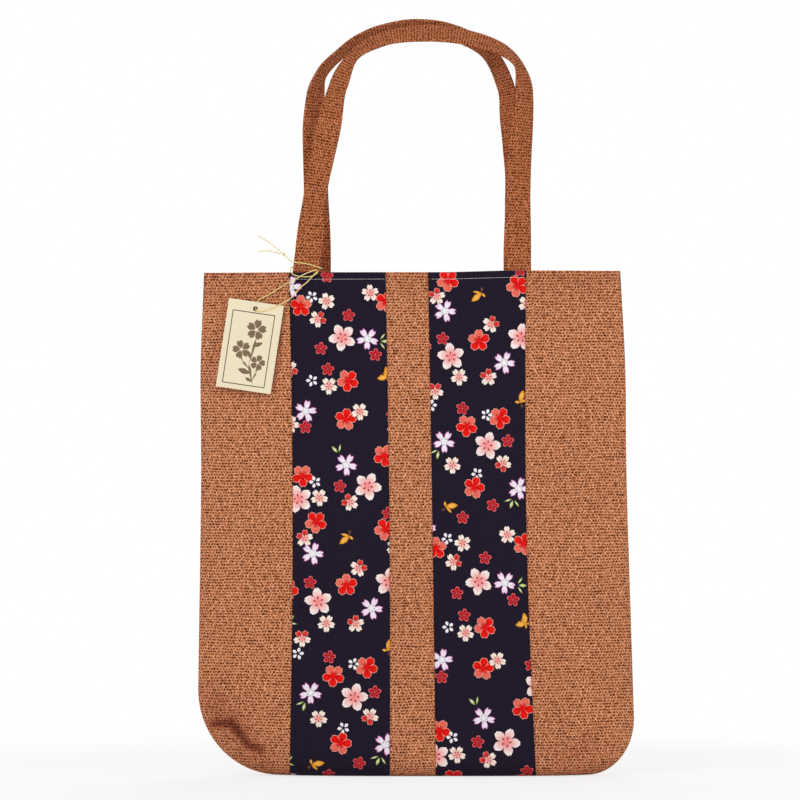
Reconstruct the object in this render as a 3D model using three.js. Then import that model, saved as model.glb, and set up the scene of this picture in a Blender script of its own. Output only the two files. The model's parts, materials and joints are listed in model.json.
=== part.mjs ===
// A patchwork tote bag that stands open and upright: two panels, each of five strips of cloth sewn side by
// side, a lining, a facing round the mouth, two flat handles, and a hang tag on the front handle's thread.
// Units are millimetres. +Z is up, +X is to the right of someone who faces the bag, and -Y is the front.
// The origin is the middle of the base, on the surface that the bag stands on.

import * as THREE from "three";
import { mergeVertices } from "three/addons/utils/BufferGeometryUtils.js";

// The bag's outline, seen from the front
const bodyHeight = 413;
const mouthReach = { left: 173.5, right: 167 };
const widestReach = 178.7;
const cornerAcross = { left: 66, right: 38 };
const cornerUp = { left: 70, right: 46 };

// How far the bag stands open, from front to back
const mouthDepth = 56;
const bellyDepth = 66;
const bellyHeight = 60;
const baseEdgeRadius = 12;

// How square the body's level sections are. At the mouth they are pinched to the side seams.
const mouthSection = { power: 2, rounding: 1 };
const baseSection = { power: 3.4, rounding: 0.62 };

// The seams between the strips of cloth, measured from the origin at the mouth and at the base
const seams = {
  outerLeft: { mouth: -103.8, base: -103.2 },
  innerLeft: { mouth: -25.2, base: -21.6 },
  innerRight: { mouth: 9.8, base: 16.1 },
  outerRight: { mouth: 89.9, base: 97.7 },
};

// Cloth
const outerCloth = 1.4;
const liningCloth = 0.8;
const facingDepth = 40;
const liningRamp = 28;
const seamGap = 0.3;
const liningGap = 0.6;

// Handles
const strapWidth = 22.4;
const strapThickness = 3;
const strapEndThickness = 1.6;
const strapEndDepth = 26;
const strapTaper = { from: 0.5, to: 6 };
const foldHeight = 16;
const handlesApart = 1.4;
const leaningFrom = 0.8;

// Each handle's run from its left fold to its right one. A station says how far across it is, in half
// spreads, how far up, in rises, and how many degrees the strap is turned, its upper edge towards the other
// handle. The left foot's lean is how far right the strap goes in the height of its fold.
const frontHandle = {
  name: "front_handle",
  facing: -1,
  centre: -3.7,
  halfSpread: 86.1,
  rise: 195.8,
  leftLean: 2,
  stations: [
    [-0.924, 0.295, 34], [-0.795, 0.589, 24], [-0.705, 0.777, 41], [-0.567, 0.905, 59], [-0.3, 0.976, 54],
    [0.109, 1, 47], [0.471, 0.982, 53], [0.814, 0.934, 62], [1.009, 0.865, 71], [1.071, 0.748, 50],
    [1.036, 0.534, 35], [1.01, 0.274, 28],
  ],
};
const backHandle = {
  name: "back_handle",
  facing: 1,
  centre: 1.2,
  halfSpread: 82.4,
  rise: 200.7,
  leftLean: 0,
  stations: [
    [-1.01, 0.288, 28], [-1.03, 0.554, 34], [-1.02, 0.713, 50], [-0.955, 0.81, 70], [-0.77, 0.89, 72],
    [-0.577, 0.948, 71], [-0.373, 0.98, 66], [-0.02, 1, 60], [0.303, 0.98, 56], [0.672, 0.897, 52],
    [0.866, 0.754, 46], [0.93, 0.611, 36], [0.99, 0.431, 30], [1, 0.268, 24],
  ],
};

// Hang tag. It hangs from the thread's tip, at the lower right of the front handle's left foot.
const tag = { width: 46.5, height: 73, thickness: 0.6, holeRadius: 1.6, holeFromTop: 5.6, lean: 8.2 };
const tagHole = { left: 52.6, down: 29.8 };
const tagPlane = { turn: 12, tilt: 2.5, clearance: 2.9 };
const tip = { fromFoot: 10.2, down: 1.5 };

// Thread. A wrap point is measured from the middle of the strap's foot at the mouth: across, up, and what it
// lies on there. The wrap ends behind the tip that the tag hangs from. The tails' points are measured from
// the knot, and the tails come forward as they rise.
const threadDiameter = 0.9;
const threadGap = 0.3;
const knotRadius = 1.4;
const tailForward = 0.1;
const wrapPoints = [
  [-18.2, 13.2, "strap"], [-17, 11.9, "strap"], [-13, 8, "strap"], [-8.4, 6.5, "strap"],
  [-2.7, 5.8, "strap"], [3, 4.8, "strap"], [8.6, 3.4, "strap"], [11.7, 2.7, "strap"], [13, 2.3, "edge"],
  [11.4, 2.1, "behind"], [0, 2.4, "behind"], [-10.8, 2.6, "behind"], [-12.7, 2.2, "edge"],
  [-13, 1.3, "strap"], [-12.9, -0.2, "panel"], [-11.4, -2.7, "panel"], [-8.5, -4.2, "panel"],
  [-4.6, -5.1, "panel"], [0.5, -5.3, "panel"], [5.2, -4.6, "panel"], [9.6, -2.2, "tip"],
];
const longTailPoints = [[-1.6, 1.2], [-6, 5], [-11.8, 9.4], [-21, 15.2]];
const shortTailPoints = [[-1.9, 0.2], [-8, 1.8], [-13, 2.9], [-20.5, 2.4]];

// The two strands from the tip to the tag's hole, measured from the tip: across, up, and how far behind the
// card's middle. One comes to the hole in front of the card and one behind it.
const frontStrandPoints = [
  [-0.4, 0.7, 0], [-3.5, -1.8, 0], [-9.3, -8, 0], [-15.1, -12.6, 0], [-18.9, -17.2, -0.3],
  [-23.5, -21.9, -0.8], [-28.5, -24.9, -1.1], [-33.4, -27.2, -1.1], [-38.1, -29.3, -1.1], [-43, -31, -1.1],
  [-47.4, -31.8, -1.1], [-50.4, -31.4, -1.1], [-51.8, -30.6, -1.05], [-52.6, -29.9, -0.45],
];
const backStrandPoints = [
  [-1.3, 1.9, 0], [-5.4, 0.8, 0], [-13.2, -2.3, 0], [-18.9, -5.6, 0], [-26.6, -9.3, 0.4],
  [-33.4, -13.1, 1], [-40.1, -17.4, 1.15], [-45.8, -20.2, 1.15], [-50.4, -22.9, 1.15], [-52.6, -26, 1.15],
  [-52.8, -28.4, 1.1], [-52.6, -29.6, 0.5],
];

// Fineness
const strapSteps = 54;
const wallRows = 9;
const cornerTurns = [90, 75, 60, 45, 30, 20, 10, 0];
const baseRows = 2;
const wholeColumns = 18;
const facingRows = 2;
const wrapStep = 1.7;
const strandStep = 2.6;
const threadSides = 8;
const holeSegments = 16;
const mergeTolerance = 1e-4;

const mouthMiddle = (mouthReach.right - mouthReach.left) / 2;
const hemGap = strapEndThickness + 2 * seamGap;
const facingInset = outerCloth + hemGap;
const strapInset = outerCloth + hemGap / 2;
const liningInset = outerCloth + liningGap;

const finishes = {
  brown: { color: 0xc98a62, roughness: 0.9, metalness: 0 },
  floral: { color: 0x1d1826, roughness: 0.85, metalness: 0 },
  lining: { color: 0x4a3427, roughness: 0.9, metalness: 0 },
  card: { color: 0xf0e8c8, roughness: 0.8, metalness: 0 },
  thread: { color: 0xd9b23c, roughness: 0.35, metalness: 0.8 },
};

const bag = new THREE.Group();

function addMesh(name, geometry, finish, parent = bag) {
  const mesh = new THREE.Mesh(geometry, new THREE.MeshStandardMaterial(finishes[finish]));
  mesh.name = name;
  parent.add(mesh);
  return mesh;
}

function mix(a, b, share) {
  return a + (b - a) * share;
}

function smooth(share) {
  const t = Math.min(1, Math.max(0, share));
  return t * t * (3 - 2 * t);
}

// The body's shape. An inset is how deep a face of the cloth lies under the bag's outer face.

function squareness(z) {
  return smooth((bodyHeight - z) / (bodyHeight - bellyHeight));
}

function halfDepth(z) {
  return mix(mouthDepth, bellyDepth, squareness(z)) / 2;
}

function sectionAt(z) {
  const share = squareness(z);
  return {
    power: mix(mouthSection.power, baseSection.power, share),
    rounding: mix(mouthSection.rounding, baseSection.rounding, share),
  };
}

// Where the bag is pinched, two faces of one cloth end further apart across than the cloth is thick.
function sideInset(z, inset) {
  const { power, rounding } = sectionAt(z);
  const share = inset / halfDepth(z);
  const halfWidth = (mouthReach.left + mouthReach.right) / 2;
  const across = 1 - Math.pow(1 - Math.pow(share, 1 / rounding), 1 / power);
  return Math.max(inset, halfWidth * across);
}

function sideReach(side, z, inset) {
  const up = Math.max(0, z - cornerUp[side]) / (bodyHeight - cornerUp[side]);
  const straight = mix(widestReach, mouthReach[side], up) - sideInset(z, inset);
  const drop = Math.min(1, Math.max(0, cornerUp[side] - z) / (cornerUp[side] - inset));
  return straight - (cornerAcross[side] - inset) * (1 - Math.sqrt(1 - drop * drop));
}

function baseEdge(z, inset) {
  const radius = baseEdgeRadius - inset;
  const below = Math.min(radius, Math.max(0, baseEdgeRadius - z));
  return radius - Math.sqrt(radius * radius - below * below);
}

// How far the face at this inset stands from the bag's middle plane
function faceReach(x, z, inset) {
  const left = -sideReach("left", z, inset);
  const right = sideReach("right", z, inset);
  const across = Math.min(1, Math.abs((2 * x - left - right) / (right - left)));
  const { power, rounding } = sectionAt(z);
  const depth = halfDepth(z) - inset - baseEdge(z, inset) - seamGap / 2;
  return seamGap / 2 + depth * Math.pow(1 - Math.pow(across, power), rounding);
}

function seamAt(seam, z) {
  return mix(seam.base, seam.mouth, z / bodyHeight);
}

// A closed cloth from two grids of points of the same size: its outer face and its inner face
function clothGeometry(outer, inner) {
  const rows = outer.length;
  const columns = outer[0].length;
  const positions = [...outer.flat(2), ...inner.flat(2)];
  const faces = [];
  const at = (layer, row, column) => layer * rows * columns + row * columns + column;
  const quad = (a, b, c, d) => faces.push(a, b, c, a, c, d);
  for (let row = 0; row + 1 < rows; row += 1) {
    for (let column = 0; column + 1 < columns; column += 1) {
      quad(at(0, row, column), at(0, row + 1, column), at(0, row + 1, column + 1), at(0, row, column + 1));
      quad(at(1, row, column), at(1, row, column + 1), at(1, row + 1, column + 1), at(1, row + 1, column));
    }
    quad(at(0, row, 0), at(1, row, 0), at(1, row + 1, 0), at(0, row + 1, 0));
    const last = columns - 1;
    quad(at(0, row, last), at(0, row + 1, last), at(1, row + 1, last), at(1, row, last));
  }
  for (let column = 0; column + 1 < columns; column += 1) {
    const last = rows - 1;
    quad(at(0, 0, column), at(0, 0, column + 1), at(1, 0, column + 1), at(1, 0, column));
    quad(at(0, last, column), at(1, last, column), at(1, last, column + 1), at(0, last, column + 1));
  }
  return closedGeometry(positions, faces);
}

// Merges the points that meet, such as those at a corner where a face narrows to nothing, and drops the
// empty faces.
function closedGeometry(positions, faces) {
  const geometry = new THREE.BufferGeometry();
  geometry.setAttribute("position", new THREE.Float32BufferAttribute(positions, 3));
  geometry.setIndex(faces);
  const merged = mergeVertices(geometry, mergeTolerance);
  const kept = [];
  const index = merged.index.array;
  for (let i = 0; i < index.length; i += 3) {
    const [a, b, c] = index.slice(i, i + 3);
    if (a !== b && b !== c && c !== a) {
      kept.push(a, b, c);
    }
  }
  merged.setIndex(kept);
  merged.computeVertexNormals();
  return merged;
}

// How far across a cloth its columns of points lie. They crowd towards a side seam, where the body curves
// most.
const spacings = {
  even: (share) => share,
  towardsStart: (share) => 1 - Math.cos((share * Math.PI) / 2),
  towardsEnd: (share) => Math.sin((share * Math.PI) / 2),
  towardsBoth: (share) => (1 - Math.cos(share * Math.PI)) / 2,
};

function acrossShares(columns, spacing) {
  return Array.from({ length: columns + 1 }, (_, column) => spacings[spacing](column / columns));
}

// One face of a cloth of the body: from the mouth down the wall, round the lower edge and in to the middle
// of the base
function bodyFace(facing, span, inset, shares, top = bodyHeight) {
  const rows = [];
  const shoulder = cornerUp.left;
  for (let row = 0; row < wallRows; row += 1) {
    rows.push({ z: mix(top, shoulder, row / wallRows), inwards: 0 });
  }
  for (const turn of cornerTurns) {
    const z = inset(0) + (shoulder - inset(0)) * (1 - Math.cos(THREE.MathUtils.degToRad(turn)));
    rows.push({ z, inwards: 0 });
  }
  for (let row = 1; row <= baseRows; row += 1) {
    rows.push({ z: inset(0), inwards: row / baseRows });
  }
  return rows.map(({ z, inwards }) => {
    const depth = inset(z);
    const [start, end] = span(z, depth);
    return shares.map((share) => {
      const x = mix(start, end, share);
      return [x, facing * mix(faceReach(x, z, depth), seamGap / 2, inwards), z];
    });
  });
}

// Seen from its own side, the back's columns run the other way, so its two faces change places.
function addBodyCloth(name, facing, outer, inner, finish) {
  const geometry = facing < 0 ? clothGeometry(outer, inner) : clothGeometry(inner, outer);
  addMesh(name, geometry, finish);
}

function addStrip(side, facing, { name, from, to, cloth, columns, spacing = "even" }) {
  const span = (z, inset) => [
    from ? seamAt(seams[from], z) + seamGap / 2 : -sideReach("left", z, inset),
    to ? seamAt(seams[to], z) - seamGap / 2 : sideReach("right", z, inset),
  ];
  const shares = acrossShares(columns, spacing);
  const outer = bodyFace(facing, span, () => 0, shares);
  const inner = bodyFace(facing, span, () => outerCloth, shares);
  addBodyCloth(`${side}_${name}`, facing, outer, inner, cloth);
}

function wholeSpan(z, inset) {
  return [-sideReach("left", z, inset), sideReach("right", z, inset)];
}

// The lining hangs from the facing, and lies against the outer cloth from a little way down.
function addLining(side, facing) {
  const top = bodyHeight - facingDepth - seamGap;
  const behindFacing = facingInset - liningInset;
  const insetOf = (start) => (z) => start + behindFacing * smooth(1 - (top - z) / liningRamp);
  const shares = acrossShares(wholeColumns, "towardsBoth");
  const outer = bodyFace(facing, wholeSpan, insetOf(liningInset), shares, top);
  const inner = bodyFace(facing, wholeSpan, insetOf(liningInset + liningCloth), shares, top);
  addBodyCloth(`${side}_lining`, facing, outer, inner, "lining");
}

function addFacing(side, facing) {
  const face = (inset) => Array.from({ length: facingRows + 1 }, (_, row) => {
    const z = bodyHeight - (facingDepth * row) / facingRows;
    const [start, end] = wholeSpan(z, inset);
    return acrossShares(wholeColumns, "towardsBoth").map((share) => {
      const x = mix(start, end, share);
      return [x, facing * faceReach(x, z, inset), z];
    });
  });
  addBodyCloth(`${side}_facing`, facing, face(facingInset), face(facingInset + liningCloth), "brown");
}

const strips = [
  { name: "left_side_strip", to: "outerLeft", cloth: "brown", columns: 6, spacing: "towardsStart" },
  { name: "left_floral_strip", from: "outerLeft", to: "innerLeft", cloth: "floral", columns: 5 },
  { name: "centre_strip", from: "innerLeft", to: "innerRight", cloth: "brown", columns: 3 },
  { name: "right_floral_strip", from: "innerRight", to: "outerRight", cloth: "floral", columns: 5 },
  { name: "right_side_strip", from: "outerRight", cloth: "brown", columns: 6, spacing: "towardsEnd" },
];

// A strap's section is a flat band with bevelled edges: pairs of shares of its half width and half
// thickness.
const strapSection = [
  [1, 0.4], [0.93, 1], [-0.93, 1], [-1, 0.4], [-1, -0.4], [-0.93, -1], [0.93, -1], [1, -0.4],
];

// A band through rings. Each ring has its centre, the way to its outer edge, its face's way and its
// thickness.
function bandGeometry(rings) {
  const positions = [];
  const faces = [];
  const sides = strapSection.length;
  for (const { centre, edge, normal, thickness } of rings) {
    for (const [across, through] of strapSection) {
      const point = centre.clone()
        .addScaledVector(edge, (across * strapWidth) / 2)
        .addScaledVector(normal, (through * thickness) / 2);
      positions.push(point.x, point.y, point.z);
    }
  }
  for (let ring = 0; ring + 1 < rings.length; ring += 1) {
    for (let side = 0; side < sides; side += 1) {
      const a = ring * sides + side;
      const b = ring * sides + ((side + 1) % sides);
      faces.push(a, b, b + sides, a, b + sides, a + sides);
    }
  }
  const last = (rings.length - 1) * sides;
  for (let side = 1; side + 1 < sides; side += 1) {
    faces.push(0, side + 1, side, last, last + side, last + side + 1);
  }
  return closedGeometry(positions, faces);
}

// A ring of a handle's strap, from where its middle is, which way it runs and how far it is turned
function strapRing(handle, centre, along, turn, thickness = strapThickness) {
  const outward = new THREE.Vector3(-along.z, 0, along.x).normalize();
  const inward = new THREE.Vector3(0, -handle.facing, 0);
  const angle = THREE.MathUtils.degToRad(turn);
  const edge = outward.multiplyScalar(Math.cos(angle)).addScaledVector(inward, Math.sin(angle));
  const normal = new THREE.Vector3().crossVectors(along, edge).normalize();
  return { centre, edge, normal, thickness };
}

// A foot is where a strap goes into the hem: end is -1 at the left foot and 1 at the right one.
function footAt(handle, end) {
  const x = handle.centre + end * handle.halfSpread;
  const step = 1;
  const slope = (faceReach(x + step, bodyHeight, 0) - faceReach(x - step, bodyHeight, 0)) / (2 * step);
  return { x, turn: THREE.MathUtils.radToDeg(Math.atan(Math.abs(slope))) };
}

function footPoint(handle, end, z) {
  const { x } = footAt(handle, end);
  const above = Math.max(0, z - bodyHeight) / foldHeight;
  const reach = faceReach(x, Math.min(z, bodyHeight), strapInset);
  const lean = end < 0 ? handle.leftLean * above : 0;
  return new THREE.Vector3(x + lean, handle.facing * reach, z);
}

function addStrapEnd(handle, end) {
  const { from, to } = strapTaper;
  const levels = [foldHeight - seamGap / 2, to, from, -strapEndDepth / 2, -strapEndDepth];
  const rings = levels.map((level) => {
    const z = bodyHeight + level;
    const thickness = mix(strapEndThickness, strapThickness, smooth((level - from) / (to - from)));
    const along = new THREE.Vector3(0, 0, -end);
    return strapRing(handle, footPoint(handle, end, z), along, footAt(handle, end).turn, thickness);
  });
  const name = `${handle.name}_${end < 0 ? "left" : "right"}_end`;
  addMesh(name, bandGeometry(end < 0 ? rings.reverse() : rings), "brown");
}

function addHandle(handle) {
  const base = bodyHeight + foldHeight + seamGap / 2;
  const places = [{ point: footPoint(handle, -1, base), turn: footAt(handle, -1).turn }];
  const footReach = Math.abs(places[0].point.y);
  for (const [across, up, turn] of handle.stations) {
    const angle = THREE.MathUtils.degToRad(turn);
    const topReach = (handlesApart + strapWidth * Math.sin(angle) + strapThickness * Math.cos(angle)) / 2;
    const reach = mix(footReach, topReach, smooth(up / leaningFrom));
    const x = handle.centre + across * handle.halfSpread;
    const z = bodyHeight + up * handle.rise;
    places.push({ point: new THREE.Vector3(x, handle.facing * reach, z), turn });
  }
  places.push({ point: footPoint(handle, 1, base), turn: footAt(handle, 1).turn });
  const line = new THREE.CatmullRomCurve3(places.map(({ point }) => point), false, "centripetal");
  const rings = [];
  for (let step = 0; step <= strapSteps; step += 1) {
    const share = step / strapSteps;
    const spot = share * (places.length - 1);
    const before = Math.min(places.length - 2, Math.floor(spot));
    const turn = mix(places[before].turn, places[before + 1].turn, smooth(spot - before));
    const along = line.getTangent(share);
    if (step === 0 || step === strapSteps) {
      along.set(0, 0, step === 0 ? 1 : -1);
    }
    rings.push(strapRing(handle, line.getPoint(share), along, turn));
  }
  addMesh(handle.name, bandGeometry(rings), "brown");
}

// A round thread through a few points
function threadGeometry(points, step) {
  const corners = Array.from({ length: threadSides }, (_, side) => {
    const angle = (side / threadSides) * 2 * Math.PI;
    return new THREE.Vector2(Math.cos(angle), Math.sin(angle)).multiplyScalar(threadDiameter / 2);
  });
  const line = points.map((point) => new THREE.Vector3(...point));
  const extrudePath = new THREE.CatmullRomCurve3(line, false, "centripetal");
  const steps = Math.round(extrudePath.getLength() / step);
  return new THREE.ExtrudeGeometry(new THREE.Shape(corners), { steps, bevelEnabled: false, extrudePath });
}

// How far in front of the bag's middle plane a thread runs beside the front handle's left foot
function threadReach(across, up, place) {
  const { x, turn } = footAt(frontHandle, -1);
  const slope = Math.tan(THREE.MathUtils.degToRad(turn));
  const strapMiddle = faceReach(x, bodyHeight, strapInset) + across * slope;
  const off = threadDiameter / 2 + threadGap;
  if (place === "edge") {
    return strapMiddle;
  }
  if (place === "behind") {
    return strapMiddle - strapThickness / 2 - off;
  }
  if (place === "tip") {
    return tagPlaneReach() - threadDiameter - threadGap;
  }
  const panel = faceReach(x + across, Math.min(bodyHeight, bodyHeight + up), 0) + off;
  return place === "panel" ? panel : Math.max(panel, strapMiddle + strapThickness / 2 + off);
}

function wrapLine() {
  const { x } = footAt(frontHandle, -1);
  return wrapPoints.map(([across, up, place]) => {
    return [x + across, -threadReach(across, up, place), bodyHeight + up];
  });
}

function addThreadOnHandle() {
  const line = wrapLine();
  const [knotX, knotY, knotZ] = line[0];
  const tail = (points) => {
    const fromKnot = points.map(([across, up]) => [knotX + across, knotY - tailForward * up, knotZ + up]);
    return threadGeometry(fromKnot, strandStep);
  };
  addMesh("thread_wrap", threadGeometry(line.slice(1), wrapStep), "thread");
  addMesh("thread_long_tail", tail(longTailPoints), "thread");
  addMesh("thread_short_tail", tail(shortTailPoints), "thread");
  const ball = closedGeometryOf(new THREE.IcosahedronGeometry(knotRadius, 1));
  addMesh("thread_knot", ball, "thread").position.set(knotX, knotY, knotZ);
}

function closedGeometryOf(geometry) {
  const { array, count } = geometry.attributes.position;
  return closedGeometry([...array], Array.from({ length: count }, (_, corner) => corner));
}

function tipPlace() {
  return { tipX: footAt(frontHandle, -1).x + tip.fromFoot, tipZ: bodyHeight - tip.down };
}

// The tag hangs in a flat plane that clears the bulging panel: this is the plane's reach at the tip.
function tagPlaneReach() {
  const { tipX, tipZ } = tipPlace();
  const turn = Math.tan(THREE.MathUtils.degToRad(tagPlane.turn));
  const tilt = Math.tan(THREE.MathUtils.degToRad(tagPlane.tilt));
  const lean = THREE.MathUtils.degToRad(tag.lean);
  const shares = [-1, -0.5, 0, 0.5, 1];
  const needed = shares.flatMap((across) => shares.map((down) => {
    const side = (across * tag.width) / 2;
    const up = tag.holeFromTop - ((down + 1) * tag.height) / 2;
    const x = tipX - tagHole.left + side * Math.cos(lean) + up * Math.sin(lean);
    const z = tipZ - tagHole.down - side * Math.sin(lean) + up * Math.cos(lean);
    return faceReach(x, z, 0) - (x - tipX) * turn - (tipZ - z) * tilt;
  }));
  return Math.max(...needed) + tagPlane.clearance;
}

function tagCardGeometry() {
  const side = tag.width / 2;
  const top = tag.holeFromTop;
  const bottom = tag.holeFromTop - tag.height;
  const corners = [[-side, bottom], [side, bottom], [side, top], [-side, top]];
  const card = new THREE.Shape(corners.map(([x, y]) => new THREE.Vector2(x, y)));
  card.holes.push(new THREE.Path().absarc(0, 0, tag.holeRadius, 0, 2 * Math.PI, true));
  const settings = { depth: tag.thickness, bevelEnabled: false, curveSegments: holeSegments };
  const geometry = new THREE.ExtrudeGeometry(card, settings);
  geometry.rotateZ(THREE.MathUtils.degToRad(-tag.lean));
  geometry.rotateX(Math.PI / 2);
  geometry.translate(0, tag.thickness / 2, 0);
  return geometry;
}

function addTag() {
  const { tipX, tipZ } = tipPlace();
  const hanging = new THREE.Group();
  hanging.position.set(tipX, -tagPlaneReach(), tipZ);
  const { degToRad } = THREE.MathUtils;
  hanging.rotation.set(degToRad(-tagPlane.tilt), 0, degToRad(-tagPlane.turn), "ZXY");
  bag.add(hanging);
  const strand = (points) => {
    const line = points.map(([across, up, behind]) => [across, behind, up]);
    return threadGeometry(line, strandStep);
  };
  addMesh("tag_string_front", strand(frontStrandPoints), "thread", hanging);
  addMesh("tag_string_back", strand(backStrandPoints), "thread", hanging);
  const card = addMesh("hang_tag", tagCardGeometry(), "card", hanging);
  card.position.set(-tagHole.left, 0, -tagHole.down);
}

for (const [side, facing] of [["front", -1], ["back", 1]]) {
  strips.forEach((strip) => addStrip(side, facing, strip));
  addLining(side, facing);
  addFacing(side, facing);
}
for (const handle of [frontHandle, backHandle]) {
  addStrapEnd(handle, -1);
  addStrapEnd(handle, 1);
  addHandle(handle);
}
addThreadOnHandle();
addTag();

export default bag;
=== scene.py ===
"""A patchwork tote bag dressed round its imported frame: woven cloth, blossom print, handles and tag."""

import json
import math

import bpy
import numpy as np
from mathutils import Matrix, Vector
from mathutils.geometry import delaunay_2d_cdt


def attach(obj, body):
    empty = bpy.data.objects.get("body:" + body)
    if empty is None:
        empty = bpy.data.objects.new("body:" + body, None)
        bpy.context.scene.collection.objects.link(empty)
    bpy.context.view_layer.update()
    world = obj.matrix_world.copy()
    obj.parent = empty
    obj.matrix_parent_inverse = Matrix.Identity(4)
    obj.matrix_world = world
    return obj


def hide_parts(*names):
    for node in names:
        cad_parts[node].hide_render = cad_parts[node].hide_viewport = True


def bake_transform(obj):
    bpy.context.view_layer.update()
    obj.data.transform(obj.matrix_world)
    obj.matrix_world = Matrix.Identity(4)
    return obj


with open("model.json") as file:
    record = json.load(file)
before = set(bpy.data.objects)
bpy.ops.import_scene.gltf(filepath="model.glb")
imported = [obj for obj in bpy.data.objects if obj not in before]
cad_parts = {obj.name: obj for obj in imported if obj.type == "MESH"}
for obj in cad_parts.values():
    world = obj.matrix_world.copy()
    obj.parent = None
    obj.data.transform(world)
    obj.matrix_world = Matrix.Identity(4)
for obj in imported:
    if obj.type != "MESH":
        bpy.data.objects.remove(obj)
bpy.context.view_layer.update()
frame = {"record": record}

# Sizes are in millimetres, as the cloth was cut. MM turns them into the frame's metres.
MM = 0.001

# The camera looks straight at the front. Half the picture's width lies each side of its middle.
CAMERA_DISTANCE = 5000
PICTURE_WIDTH = 656
PICTURE_MIDDLE = (-13.2, 307.1)
SENSOR_WIDTH = 36

# The bag's outline, seen from the front
BODY_HEIGHT = 413
MOUTH_REACH = {"left": 173.5, "right": 167}
WIDEST_REACH = 178.7
CORNER_ACROSS = {"left": 66, "right": 38}
CORNER_UP = {"left": 70, "right": 46}

# How far the bag stands open, and how square its level sections are
MOUTH_DEPTH = 56
BELLY_DEPTH = 66
BELLY_HEIGHT = 60
BASE_EDGE_RADIUS = 12
MOUTH_SECTION = (2, 1)
BASE_SECTION = (3.4, 0.62)

# The hair's breadth between two pieces of cloth that are sewn together
SEAM_GAP = 0.06

# The cloth gives a little: the sides bulge, and the mouth sags at its left and in its middle
SIDE_BULGE = 2
SIDE_BULGE_HEIGHT = 335
SIDE_BULGE_RUN = 62
MOUTH_SAG = 1.6
MOUTH_SAG_RUN = 90
MOUTH_SAG_END = 90
MOUTH_SAG_TAPER = 75

# The seams between the strips, at the mouth and at the base
SEAMS = {
    "outer_left": (-103.8, -103.2),
    "inner_left": (-25.2, -21.6),
    "inner_right": (9.8, 16.1),
    "outer_right": (89.9, 97.7),
}

# How far each seam bows to the right halfway down
SEAM_BOWS = {"outer_left": 2.8, "inner_left": 1.5, "inner_right": 0.4, "outer_right": -4}

# Layers of cloth, as depths under the bag's outer face
OUTER_CLOTH = 1.4
LINING_CLOTH = 0.8
FACING_INSET = 3.6
LINING_INSET = 2.0
FACING_DEPTH = 40
LINING_RAMP = 28
STRAP_INSET = 2.5

# The unrolled cloth: down the wall, round the lower edge, and in to the base's middle
WALL_RUN = BODY_HEIGHT - BASE_EDGE_RADIUS
UNDER_RUN = WALL_RUN + BASE_EDGE_RADIUS * math.pi / 2
BASE_RUN = 21
CLOTH_RUN = UNDER_RUN + BASE_RUN

# Handles
STRAP_WIDTH = 22.4
STRAP_THICKNESS = 3
STRAP_END_THICKNESS = 1.6
STRAP_END_DEPTH = 26
STRAP_TAPER = (0.5, 6)
FOLD_HEIGHT = 16
HANDLES_APART = 1.4
LEANING_FROM = 0.8
FRONT_HANDLE = {
    "name": "front_handle",
    "facing": -1,
    "centre": -3.7,
    "half_spread": 86.1,
    "rise": 195.8,
    "left_lean": 2,
    "stations": [
        (-0.924, 0.295, 34), (-0.795, 0.589, 24), (-0.696, 0.773, 48), (-0.552, 0.897, 66),
        (-0.29, 0.965, 58), (0.109, 0.992, 50), (0.471, 0.978, 54), (0.814, 0.934, 62),
        (1.009, 0.865, 71), (1.071, 0.748, 50), (1.036, 0.534, 35), (1.01, 0.274, 28),
    ],
}
BACK_HANDLE = {
    "name": "back_handle",
    "facing": 1,
    "centre": 1.2,
    "half_spread": 82.4,
    "rise": 200.7,
    "left_lean": 0,
    "stations": [
        (-1.01, 0.288, 28), (-1.03, 0.554, 34), (-1.02, 0.713, 50), (-0.955, 0.81, 70),
        (-0.77, 0.89, 72), (-0.577, 0.948, 71), (-0.373, 0.98, 66), (-0.02, 1, 60),
        (0.31, 0.982, 60), (0.688, 0.903, 60), (0.877, 0.759, 54), (0.933, 0.611, 38),
        (0.99, 0.431, 30), (1, 0.268, 24),
    ],
}

# Hang tag: its lean, and how far its hole lies from its top edge
TAG = {"width": 46.5, "height": 73, "thickness": 0.6, "hole_radius": 1.6, "hole_from_top": 5.6, "lean": 8.2}

# Thread. A wrap point is measured from the middle of the strap's foot at the mouth: across, up, and what it
# lies on there. Tails are measured from the knot, and strands from the thread's tip.
THREAD_DIAMETER = 0.9
THREAD_GAP = 0.3
TAIL_FORWARD = 0.1
WRAP_POINTS = [
    (-18.2, 13.2, "strap"), (-17, 11.9, "strap"), (-13, 8, "strap"), (-8.4, 6.5, "strap"),
    (-2.7, 5.8, "strap"), (3, 4.6, "strap"), (8.6, 2.9, "strap"), (11.7, 1.8, "strap"),
    (13, 1.3, "edge"), (11.4, 1.3, "behind"), (0, 2.2, "behind"), (-10.8, 2.6, "behind"),
    (-12.7, 2.2, "edge"), (-13, 1.3, "strap"), (-12.9, -0.2, "panel"), (-11.4, -2.7, "panel"),
    (-8.5, -4.2, "panel"), (-4.6, -5.1, "panel"), (0.5, -5.3, "panel"), (5.2, -4.6, "panel"),
    (9.6, -2.2, "tip"),
]
LONG_TAIL_POINTS = [(-1.6, 1.2), (-6, 5), (-11.8, 9.4), (-21, 15.2)]
SHORT_TAIL_POINTS = [(-1.9, 0.2), (-8, 1.8), (-13, 2.9), (-20.5, 2.4)]
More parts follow.
